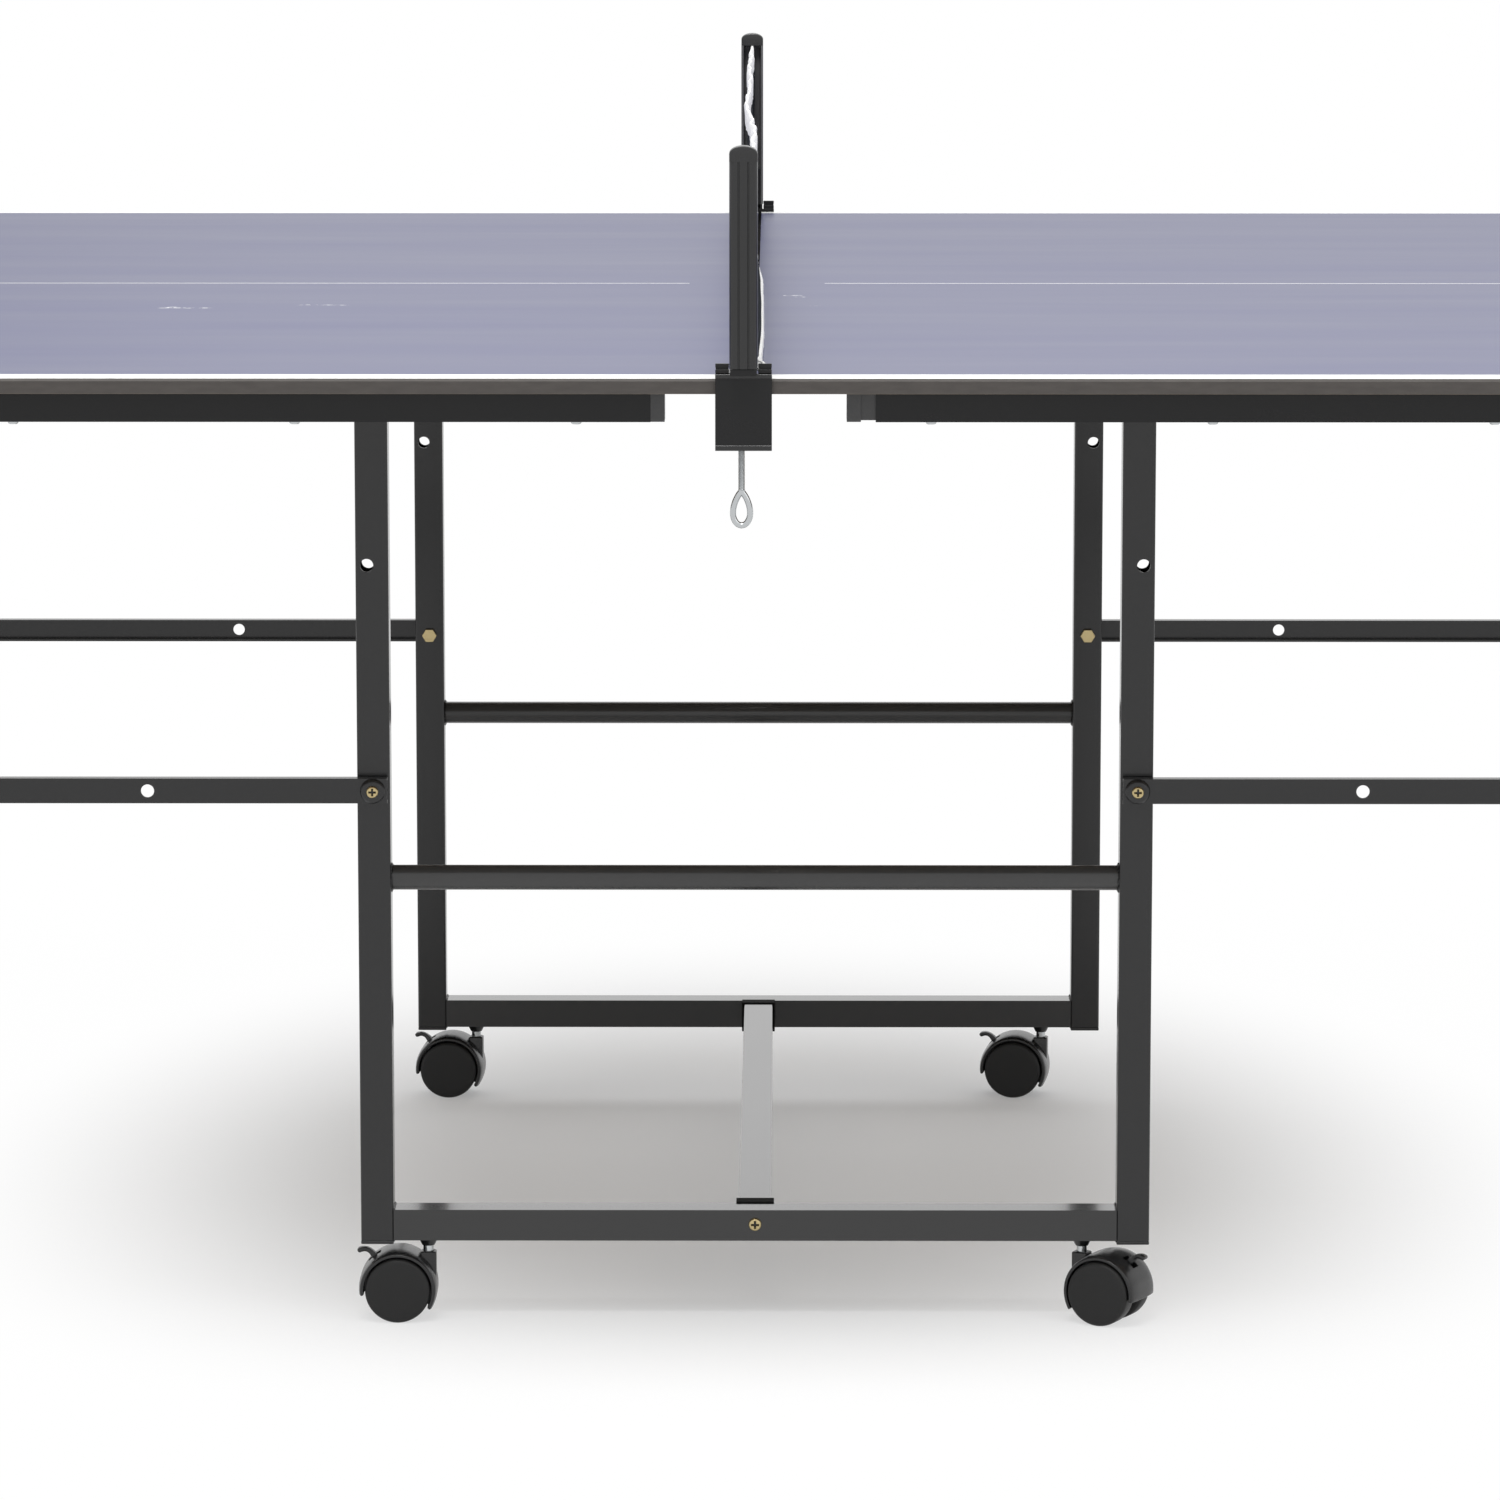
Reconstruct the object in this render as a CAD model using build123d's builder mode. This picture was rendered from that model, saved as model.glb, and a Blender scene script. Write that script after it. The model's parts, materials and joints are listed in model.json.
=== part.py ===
from build123d import *
import os
from math import acos, cos, degrees, radians, sin, sqrt

# Folding roll-away ping pong table, open for play.
# Millimetres, +Z up, origin on the floor under the middle of the seam.
# X runs along the table, near is -Y, far is +Y, left is -X, right is +X.

# Top
LENGTH = 2740.0
WIDTH = 1525.0
HEIGHT = 760.0
TOP_T = 12.0
SEAM_GAP = 3.0
TOP_CHAMFER = 3.0

# Frame tubes
POST = 25.0
POST_WALL = 1.5
POST_CORNER = 2.0
FRAME_LENGTH = 604.0
POST_SPACING = 849.0
RAIL_H = 24.0
RAIL_D = 25.0
RAIL_WALL = 1.5
RAIL_BOTTOM = 63.0
RUNG_D = 19.0
RUNG_WALL = 1.5
RUNG_Z = 343.5
PLUG_FLANGE = 3.0
PLUG_DEPTH = 15.0
PLUG_FIT = 0.1

# Crossbar between the bottom rails
CROSSBAR_W = 25.0
CROSSBAR_H = 22.0
CROSSBAR_WALL = 1.5
CROSSBAR_BRACKET_T = 2.0
CROSSBAR_BRACKET_L = 30.0
CROSSBAR_BOLT_R = 3.0
CROSSBAR_HEAD_R = 5.0
CROSSBAR_HEAD_H = 3.0
CROSSBAR_NUT_R = 5.0
CROSSBAR_NUT_H = 4.5

# Fold hinges under the top
BRACKET_WEB = 2.5
BRACKET_CHEEK = 2.0
BRACKET_PLAY = 0.3
BRACKET_CHEEK_R = 14.0
BRACKET_LENGTH = 76.0
TURN_GAP = 0.32
PIN_R = 4.0
PIN_FIT = 0.08
PIN_HEAD_R = 6.0
PIN_HEAD_H = 3.0
PIN_PROUD = 0.3

# Link bars
BAR_H = 19.0
BAR_D = 10.0
BAR_T = 2.0
BAR_GAP = 3.0
BAR_PIVOT_Z = 414.0
BAR_OVERRUN = 11.0
LOCK_RADIUS = 170.5
LOCK_OFFSET = 3.9
LOCK_HOLE_R = 5.0
BOLT_R = 4.0
BOLT_FIT = 0.08
BOLT_CLEARANCE = 0.4
BOLT_HEAD_R = 4.6
BOLT_HEAD_H = 2.6
NUT_R = 6.5
NUT_H = 5.0
WASHER_R = 9.5
WASHER_H = 4.0
BUSH_R = 6.5
SIDE_PLAY = 0.2

# Legs
LEG_INSET = 210.5
LEG_RUNG_Z = 200.0
FOOT_SIZE = 30.0
FOOT_FLOOR = 8.0
FOOT_H = 30.0

# Rails under the top
SIDE_RAIL_D = 25.0
SIDE_RAIL_H = 22.0
SIDE_RAIL_WALL = 1.2
SIDE_RAIL_INSET = 20.0
SIDE_RAIL_END_INSET = 45.0
SIDE_RAIL_START_LEFT = 73.0
SIDE_RAIL_START_RIGHT = 86.5
CAP_FLANGE = 10.0
CAP_NECK = 20.0
CAP_CORNER = 2.0
CAP_FIT = 0.1
CAP_PULLED_OUT = 10.5
CROSS_RAIL = 20.0
CROSS_RAIL_WALL = 1.2
INNER_CROSS_RAIL_OUT = 55.0
INNER_CROSS_RAIL_CLEAR = 7.0
END_RAIL_INSET = 28.0
END_RAIL_CLEAR = 17.5

# Screws of the rails and brackets
SCREW_FIRST = 126.0
SCREW_PITCH = 200.0
SCREW_COUNT = 6
SCREW_R = 2.0
SCREW_DEPTH = 8.0
SCREW_HEAD_R = 4.0
SCREW_HEAD_H = 2.8
BRACKET_SCREW_OUT = 30.0
CROSS_SCREW_OUT = 320.0

# Casters
CASTER_STEM_INSET = 51.0
WHEEL_R = 25.0
WHEEL_INNER = 7.0
WHEEL_W = 15.5
WHEEL_FILLET = 2.0
AXLE_R = 4.0
AXLE_CLEARANCE = 0.3
TRAIL = 23.0
HOOD_GAP = 1.2
HOOD_T = 4.0
HOOD_W = 41.0
HOOD_START = -8.0
HOOD_END = 211.0
HOOD_BOSS_R = 8.0
WEB_PLAY = 0.8
NECK_W = 12.4
NECK_TOP = 52.5
NECK_BASE = 30.0
STEM_R = 4.0
STEM_FIT = 0.05
STEM_BOTTOM = 35.0
STEM_IN_RAIL = 17.0
SOCKET_R = 7.0
SOCKET_FLANGE_R = 7.8
SOCKET_TIP_R = 4.8
SOCKET_CONE = 6.0
SOCKET_IN_RAIL = 18.0
BRAKE_ANGLE = 52.0
BRAKE_SLOT_HALF = 6.0
BRAKE_SLOT_W = 9.0
BRAKE_PLAY = 0.7
BRAKE_PIN_R = 1.2
BRAKE_PIN_CLEARANCE = 0.1
BRAKE_ARM = 2.2
BRAKE_TIP_OUT = 11.5
BRAKE_TIP_DROP = 8.0

# Net set, clamped to the left half beside the seam
NET_X = -7.0
CLAMP_W = 40.0
CLAMP_T = 3.0
CLAMP_PLAY = 0.5
CLAMP_DROP = 52.0
CLAMP_LIP = 10.0
CLAMP_SEAM_CLEAR = 2.0
JAW_REACH = 28.0
TOP_JAW_T = 2.8
TOP_JAW_PLAY = 0.2
NUT_BOSS_R = 6.0
NUT_BOSS_H = 5.0
CLAMP_AXIS_IN = 14.0
CLAMP_AXIS_EDGE = 5.0
PAD_R = 4.8
PAD_T = 10.0
PAD_SOCKET = 5.0
PAD_SOCKET_FIT = 0.1
CLAMP_SCREW_R = 2.5
CLAMP_SCREW_FIT = 0.08
EYE_DROP = 81.0
EYE_W = 16.5
EYE_H = 28.0
EYE_WIRE_R = 2.2
NET_POST_W = 20.0
NET_POST_D = 14.0
NET_POST_WALL = 2.0
NET_POST_LIFT = 7.0
NET_HEIGHT = 152.5
NET_CAP_H = 11.0
TONGUE_FIT = 0.3
TONGUE_RISE = 40.0
TONGUE_DROP = 10.0
NET_T = 1.2
NET_JAW_CLEAR = 0.5
NET_EDGE_GAP = 0.5
NET_TAPE = 15.0
NET_TAPE_T = 2.4
NET_STRAND = 3.0
NET_COLUMNS = 60
NET_ROWS = 5
NET_HEM_R = 2.5
NET_HEM_IN = 6.0

# Derived places
UNDER_Z = HEIGHT - TOP_T
EDGE_Y = WIDTH / 2
HALF_X = LENGTH / 2
SEAM_X = SEAM_GAP / 2
POST_X = (FRAME_LENGTH - POST) / 2
POST_Y = POST_SPACING / 2
CASTER_STEM_OUT = FRAME_LENGTH / 2 - CASTER_STEM_INSET
RAIL_TOP = RAIL_BOTTOM + RAIL_H
RAIL_END_X = POST_X - POST / 2
RAIL_INNER_Y = POST_Y - RAIL_D / 2
RAIL_OUTER_Y = POST_Y + RAIL_D / 2
POST_OUTER_Y = POST_Y + POST / 2
POST_INNER_Y = POST_Y - POST / 2
HINGE_DROP = BRACKET_WEB + POST / sqrt(2) + TURN_GAP
PIVOT_Z = UNDER_Z - HINGE_DROP
POST_TOP = PIVOT_Z + POST / 2
CHEEK_IN = POST / 2 + BRACKET_PLAY
CHEEK_OUT = CHEEK_IN + BRACKET_CHEEK
LEG_X = HALF_X - LEG_INSET
BAR_LENGTH = LEG_X - POST_X
FOLD_ANGLE = degrees(acos(LOCK_OFFSET / LOCK_RADIUS))
LOCK_Z = BAR_PIVOT_Z + LOCK_RADIUS * sin(radians(FOLD_ANGLE))
BAR_INNER_Y = POST_OUTER_Y + BAR_GAP
BAR_OUTER_Y = BAR_INNER_Y + BAR_D
BAR_WEB_Y = BAR_OUTER_Y - BAR_T
SIDE_RAIL_Y = EDGE_Y - SIDE_RAIL_INSET - SIDE_RAIL_D / 2
SIDE_RAIL_Z = UNDER_Z - SIDE_RAIL_H / 2
SIDE_RAIL_END = HALF_X - SIDE_RAIL_END_INSET
CROSS_RAIL_Z = UNDER_Z - CROSS_RAIL / 2
INNER_CROSS_RAIL_X = POST_X + INNER_CROSS_RAIL_OUT
INNER_CROSS_RAIL_LENGTH = 2 * (POST_INNER_Y - INNER_CROSS_RAIL_CLEAR)
END_RAIL_X = HALF_X - END_RAIL_INSET
END_RAIL_LENGTH = 2 * (SIDE_RAIL_Y - SIDE_RAIL_D / 2 - END_RAIL_CLEAR)
CROSSBAR_Z = RAIL_TOP - CROSSBAR_H / 2
HOOD_R = WHEEL_R + HOOD_GAP + HOOD_T
WEB_T = 2 * (WHEEL_INNER - WEB_PLAY)
BRAKE_R = HOOD_R - HOOD_T / 2
PLATE_Y = EDGE_Y + CLAMP_PLAY
CLAMP_LEFT_X = NET_X - CLAMP_W / 2
CLAMP_BOTTOM = HEIGHT - CLAMP_DROP
CLAMP_LIP_TOP = HEIGHT + CLAMP_LIP
EYE_TOP = HEIGHT - EYE_DROP
CLAMP_AXIS_Y = EDGE_Y - CLAMP_AXIS_IN
NET_POST_FOOT = HEIGHT + NET_POST_LIFT
TONGUE_TOP = HEIGHT + TONGUE_RISE
NET_TOP = HEIGHT + NET_HEIGHT
NET_POST_OUT_Y = PLATE_Y + NET_EDGE_GAP + NET_POST_D
NET_HEM_Y = PLATE_Y + NET_EDGE_GAP + NET_HEM_IN

ALONG_X = (0, 90, 0)
ALONG_Y = (90, 0, 0)
SIDES = {"left": -1, "right": 1}
ROWS = {"near": -1, "far": 1}
RAIL_START = {"left": SIDE_RAIL_START_LEFT, "right": SIDE_RAIL_START_RIGHT}
# Heading of each caster's wheels, seen from its stem
CASTER_TURN = {
    ("near", "left"): 180.0,
    ("near", "right"): -28.0,
    ("far", "left"): 176.0,
    ("far", "right"): 172.0,
}


def at(x, y, z, turn=(0, 0, 0)):
    """One place in the open part, with a turn in degrees."""
    return Locations(Location((x, y, z), turn))


def keep(built, name):
    """Labels a finished piece and writes it."""
    built.part.label = name
    export_step(built.part, f"parts/{name}.step")


os.makedirs("parts", exist_ok=True)

# Posts: square tubes with a hinge pin hole, a bar bolt hole and a lock hole
for row, sy in ROWS.items():
    for side, sx in SIDES.items():
        with BuildPart() as post:
            with BuildSketch(Plane.XY.offset(RAIL_BOTTOM)):
                with Locations((sx * POST_X, sy * POST_Y)):
                    RectangleRounded(POST, POST, POST_CORNER)
                    Rectangle(POST - 2 * POST_WALL, POST - 2 * POST_WALL, mode=Mode.SUBTRACT)
            extrude(amount=POST_TOP - RAIL_BOTTOM)
            with at(sx * POST_X, sy * POST_Y, PIVOT_Z, ALONG_Y):
                Cylinder(PIN_R + PIN_FIT, 2 * POST, mode=Mode.SUBTRACT)
            with at(sx * POST_X, sy * POST_Y, BAR_PIVOT_Z, ALONG_Y):
                Cylinder(BOLT_R, 2 * POST, mode=Mode.SUBTRACT)
            with at(sx * (POST_X + LOCK_OFFSET), sy * POST_Y, LOCK_Z, ALONG_Y):
                Cylinder(LOCK_HOLE_R, 2 * POST, mode=Mode.SUBTRACT)
        keep(post, f"{row}_{side}_post")

# Plugs that close the lower ends of the posts
with BuildPart() as plugs:
    plug_inside = POST - 2 * POST_WALL - 2 * PLUG_FIT
    for sy in ROWS.values():
        for sx in SIDES.values():
            with at(sx * POST_X, sy * POST_Y, RAIL_BOTTOM - PLUG_FLANGE / 2):
                Box(POST, POST, PLUG_FLANGE)
            with at(sx * POST_X, sy * POST_Y, RAIL_BOTTOM + PLUG_DEPTH / 2):
                Box(plug_inside, plug_inside, PLUG_DEPTH)
keep(plugs, "post_plugs")

# Rungs: round tubes welded between the posts
with BuildPart() as rungs:
    for sy in ROWS.values():
        with at(0, sy * POST_Y, RUNG_Z, ALONG_X):
            Cylinder(RUNG_D / 2, 2 * RAIL_END_X)
            Cylinder(RUNG_D / 2 - RUNG_WALL, 2 * RAIL_END_X, mode=Mode.SUBTRACT)
keep(rungs, "rungs")

# Bottom rails: tubes with the caster sockets in their lower wall
for row, sy in ROWS.items():
    with BuildPart() as rail:
        with at(0, sy * POST_Y, RAIL_BOTTOM + RAIL_H / 2):
            Box(2 * RAIL_END_X, RAIL_D, RAIL_H)
            Box(2 * RAIL_END_X, RAIL_D - 2 * RAIL_WALL, RAIL_H - 2 * RAIL_WALL, mode=Mode.SUBTRACT)
        for sx in SIDES.values():
            with at(sx * CASTER_STEM_OUT, sy * POST_Y, RAIL_BOTTOM):
                Cylinder(SOCKET_R, RAIL_H / 2, mode=Mode.SUBTRACT)
        with at(0, sy * POST_Y, CROSSBAR_Z, ALONG_Y):
            Cylinder(CROSSBAR_BOLT_R, 2 * RAIL_D, mode=Mode.SUBTRACT)
    keep(rail, f"{row}_bottom_rail")

# Crossbar, its U brackets and its bolts
crossbar_end = RAIL_INNER_Y - CROSSBAR_BRACKET_T
with BuildPart() as crossbar:
    with at(0, 0, CROSSBAR_Z):
        Box(CROSSBAR_W, 2 * crossbar_end, CROSSBAR_H)
        Box(
            CROSSBAR_W - 2 * CROSSBAR_WALL,
            2 * crossbar_end,
            CROSSBAR_H - 2 * CROSSBAR_WALL,
            mode=Mode.SUBTRACT,
        )
keep(crossbar, "crossbar")

with BuildPart() as crossbar_brackets:
    for sy in ROWS.values():
        with at(0, sy * (RAIL_INNER_Y - CROSSBAR_BRACKET_L / 2), CROSSBAR_Z):
            Box(CROSSBAR_W + 2 * CROSSBAR_BRACKET_T, CROSSBAR_BRACKET_L, CROSSBAR_H)
        with at(0, sy * (crossbar_end - CROSSBAR_BRACKET_L / 2), CROSSBAR_Z):
            Box(CROSSBAR_W, CROSSBAR_BRACKET_L, CROSSBAR_H, mode=Mode.SUBTRACT)
        with at(0, sy * RAIL_INNER_Y, CROSSBAR_Z, ALONG_Y):
            Cylinder(CROSSBAR_BOLT_R, 4 * CROSSBAR_BRACKET_T, mode=Mode.SUBTRACT)
keep(crossbar_brackets, "crossbar_brackets")

with BuildPart() as crossbar_bolts:
    nut_face = crossbar_end
    for sy in ROWS.values():
        with at(0, sy * (RAIL_OUTER_Y + CROSSBAR_HEAD_H / 2), CROSSBAR_Z, ALONG_Y):
            Cylinder(CROSSBAR_HEAD_R, CROSSBAR_HEAD_H)
        shank_end = nut_face - CROSSBAR_NUT_H
        with at(0, sy * (RAIL_OUTER_Y + shank_end) / 2, CROSSBAR_Z, ALONG_Y):
            Cylinder(CROSSBAR_BOLT_R, RAIL_OUTER_Y - shank_end)
        with at(0, sy * (nut_face - CROSSBAR_NUT_H / 2), CROSSBAR_Z, ALONG_Y):
            Cylinder(CROSSBAR_NUT_R, CROSSBAR_NUT_H)
keep(crossbar_bolts, "crossbar_bolts")

# Bar pivots on the posts: bolts, bushes and domed washers
with BuildPart() as pivot_bolts:
    head_y = BAR_OUTER_Y + SIDE_PLAY + WASHER_H
    for sy in ROWS.values():
        for sx in SIDES.values():
            shank = head_y - (POST_INNER_Y - NUT_H)
            with at(sx * POST_X, sy * (head_y - shank / 2), BAR_PIVOT_Z, ALONG_Y):
                Cylinder(BOLT_R, shank)
            with at(sx * POST_X, sy * (POST_INNER_Y - NUT_H / 2), BAR_PIVOT_Z, ALONG_Y):
                Cylinder(NUT_R, NUT_H)
            with at(sx * POST_X, sy * (head_y + BOLT_HEAD_H / 2), BAR_PIVOT_Z, ALONG_Y):
                Cylinder(BOLT_HEAD_R, BOLT_HEAD_H)
keep(pivot_bolts, "bar_pivot_bolts")

with BuildPart() as pivot_washers:
    bush = BAR_WEB_Y - SIDE_PLAY - POST_OUTER_Y
    for sy in ROWS.values():
        for sx in SIDES.values():
            with at(sx * POST_X, sy * (POST_OUTER_Y + bush / 2), BAR_PIVOT_Z, ALONG_Y):
                Cylinder(BUSH_R, bush)
                Cylinder(BOLT_R, bush, mode=Mode.SUBTRACT)
            turn = (90 * -sy, 0, 0)
            washer_y = sy * (BAR_OUTER_Y + SIDE_PLAY + WASHER_H / 2)
            with at(sx * POST_X, washer_y, BAR_PIVOT_Z, turn):
                Cone(WASHER_R, WASHER_R * 0.62, WASHER_H)
                Cylinder(BOLT_R, 2 * WASHER_H, mode=Mode.SUBTRACT)
keep(pivot_washers, "pivot_washers")

# Caster sockets in the rails and the steel stems they hold
with BuildPart() as sockets:
    for sy in ROWS.values():
        for sx in SIDES.values():
            with at(sx * CASTER_STEM_OUT, sy * POST_Y, RAIL_BOTTOM + SOCKET_IN_RAIL / 2):
                Cylinder(SOCKET_R, SOCKET_IN_RAIL)
            with at(sx * CASTER_STEM_OUT, sy * POST_Y, RAIL_BOTTOM - SOCKET_CONE / 2):
                Cone(SOCKET_TIP_R, SOCKET_FLANGE_R, SOCKET_CONE)
            with at(sx * CASTER_STEM_OUT, sy * POST_Y, RAIL_BOTTOM - SOCKET_CONE + STEM_IN_RAIL / 2):
                Cylinder(STEM_R, STEM_IN_RAIL + SOCKET_CONE, mode=Mode.SUBTRACT)
keep(sockets, "caster_sockets")

stem_top = RAIL_BOTTOM - SOCKET_CONE / 2 + STEM_IN_RAIL
with BuildPart() as stems:
    for sy in ROWS.values():
        for sx in SIDES.values():
            with at(sx * CASTER_STEM_OUT, sy * POST_Y, (STEM_BOTTOM + stem_top) / 2):
                Cylinder(STEM_R, stem_top - STEM_BOTTOM)
keep(stems, "caster_stems")

# Casters: hood with its web and neck, twin wheels on one axle, brake lever
brake_out = (cos(radians(BRAKE_ANGLE)), sin(radians(BRAKE_ANGLE)))
brake_across = (-brake_out[1], brake_out[0])


def from_axle(out, across):
    """A point of the caster's side view, along and across the brake's radius."""
    return (
        TRAIL + out * brake_out[0] + across * brake_across[0],
        WHEEL_R + out * brake_out[1] + across * brake_across[1],
    )


def on_rim(angle, radius):
    """A point of the caster's side view on a circle about the axle."""
    return (TRAIL + radius * cos(radians(angle)), WHEEL_R + radius * sin(radians(angle)))


for (row, side), turn in CASTER_TURN.items():
    heading = (cos(radians(turn)), sin(radians(turn)))
    foot = (SIDES[side] * CASTER_STEM_OUT, ROWS[row] * POST_Y, 0)
    # Side view of the caster: first axis along the trail, second axis up
    view = Plane(origin=foot, x_dir=(*heading, 0), z_dir=(heading[1], -heading[0], 0))
    open_angles = [HOOD_END + k * (360 + HOOD_START - HOOD_END) / 4 for k in range(5)]
    open_part = [(TRAIL, WHEEL_R)] + [on_rim(a, 3 * HOOD_R) for a in open_angles]

    with BuildPart() as hood:
        with BuildSketch(view):
            with Locations((TRAIL, WHEEL_R)):
                Circle(HOOD_R)
                Circle(HOOD_R - HOOD_T, mode=Mode.SUBTRACT)
            with BuildLine():
                Polyline(*open_part, close=True)
            make_face(mode=Mode.SUBTRACT)
        extrude(amount=HOOD_W / 2, both=True)
        with BuildSketch(view):
            with Locations((TRAIL, WHEEL_R)):
                Circle(HOOD_R - HOOD_T / 2)
            with BuildLine():
                Polyline(*open_part, close=True)
            make_face(mode=Mode.SUBTRACT)
            with Locations((TRAIL, WHEEL_R)):
                Circle(HOOD_BOSS_R)
            with Locations((0, (NECK_BASE + NECK_TOP) / 2)):
                Rectangle(NECK_W, NECK_TOP - NECK_BASE)
        extrude(amount=WEB_T / 2, both=True)
        # Slot of the brake lever
        slot_in = BRAKE_R - BRAKE_SLOT_HALF
        slot_out = HOOD_R + BRAKE_SLOT_HALF
        with BuildSketch(view):
            with BuildLine():
                Polyline(
                    from_axle(slot_in, -BRAKE_SLOT_HALF),
                    from_axle(slot_out, -BRAKE_SLOT_HALF),
                    from_axle(slot_out, BRAKE_SLOT_HALF),
                    from_axle(slot_in, BRAKE_SLOT_HALF),
                    close=True,
                )
            make_face()
        extrude(amount=BRAKE_SLOT_W / 2, both=True, mode=Mode.SUBTRACT)
        with BuildSketch(view):
            with Locations(from_axle(BRAKE_R, 0)):
                Circle(BRAKE_PIN_R + BRAKE_PIN_CLEARANCE)
            with Locations((TRAIL, WHEEL_R)):
                Circle(AXLE_R + AXLE_CLEARANCE)
        extrude(amount=WEB_T, both=True, mode=Mode.SUBTRACT)
        with at(foot[0], foot[1], STEM_BOTTOM - STEM_FIT + (NECK_TOP - STEM_BOTTOM) / 2):
            Cylinder(STEM_R + STEM_FIT, NECK_TOP - STEM_BOTTOM + 2 * STEM_FIT, mode=Mode.SUBTRACT)
    keep(hood, f"{row}_{side}_caster_hood")

    with BuildPart() as wheels:
        for k in (-1, 1):
            with BuildSketch(view.offset(k * WHEEL_INNER)):
                with Locations((TRAIL, WHEEL_R)):
                    Circle(WHEEL_R)
            extrude(amount=k * WHEEL_W)
        fillet(wheels.edges().filter_by(GeomType.CIRCLE), WHEEL_FILLET)
        with BuildSketch(view):
            with Locations((TRAIL, WHEEL_R)):
                Circle(AXLE_R)
        extrude(amount=WHEEL_INNER, both=True)
    keep(wheels, f"{row}_{side}_caster_wheels")

    with BuildPart() as brake:
        with BuildSketch(view):
            arm_in = BRAKE_R - BRAKE_SLOT_HALF + BRAKE_ARM
            tip_out = HOOD_R + BRAKE_TIP_OUT
            with BuildLine():
                Polyline(
                    from_axle(arm_in, -BRAKE_ARM),
                    from_axle(HOOD_R + BRAKE_ARM / 2, -BRAKE_ARM),
                    from_axle(tip_out - 1.2 * BRAKE_ARM, -BRAKE_TIP_DROP),
                    from_axle(tip_out, 1.2 * BRAKE_ARM - BRAKE_TIP_DROP),
                    from_axle(HOOD_R + 2 * BRAKE_ARM, BRAKE_ARM),
                    from_axle(arm_in, BRAKE_ARM),
                    close=True,
                )
            make_face()
        extrude(amount=BRAKE_SLOT_W / 2 - BRAKE_PLAY, both=True)
        with BuildSketch(view):
            with Locations(from_axle(BRAKE_R, 0)):
                Circle(BRAKE_PIN_R)
        extrude(amount=WEB_T / 2, both=True)
    keep(brake, f"{row}_{side}_caster_brake")

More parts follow.
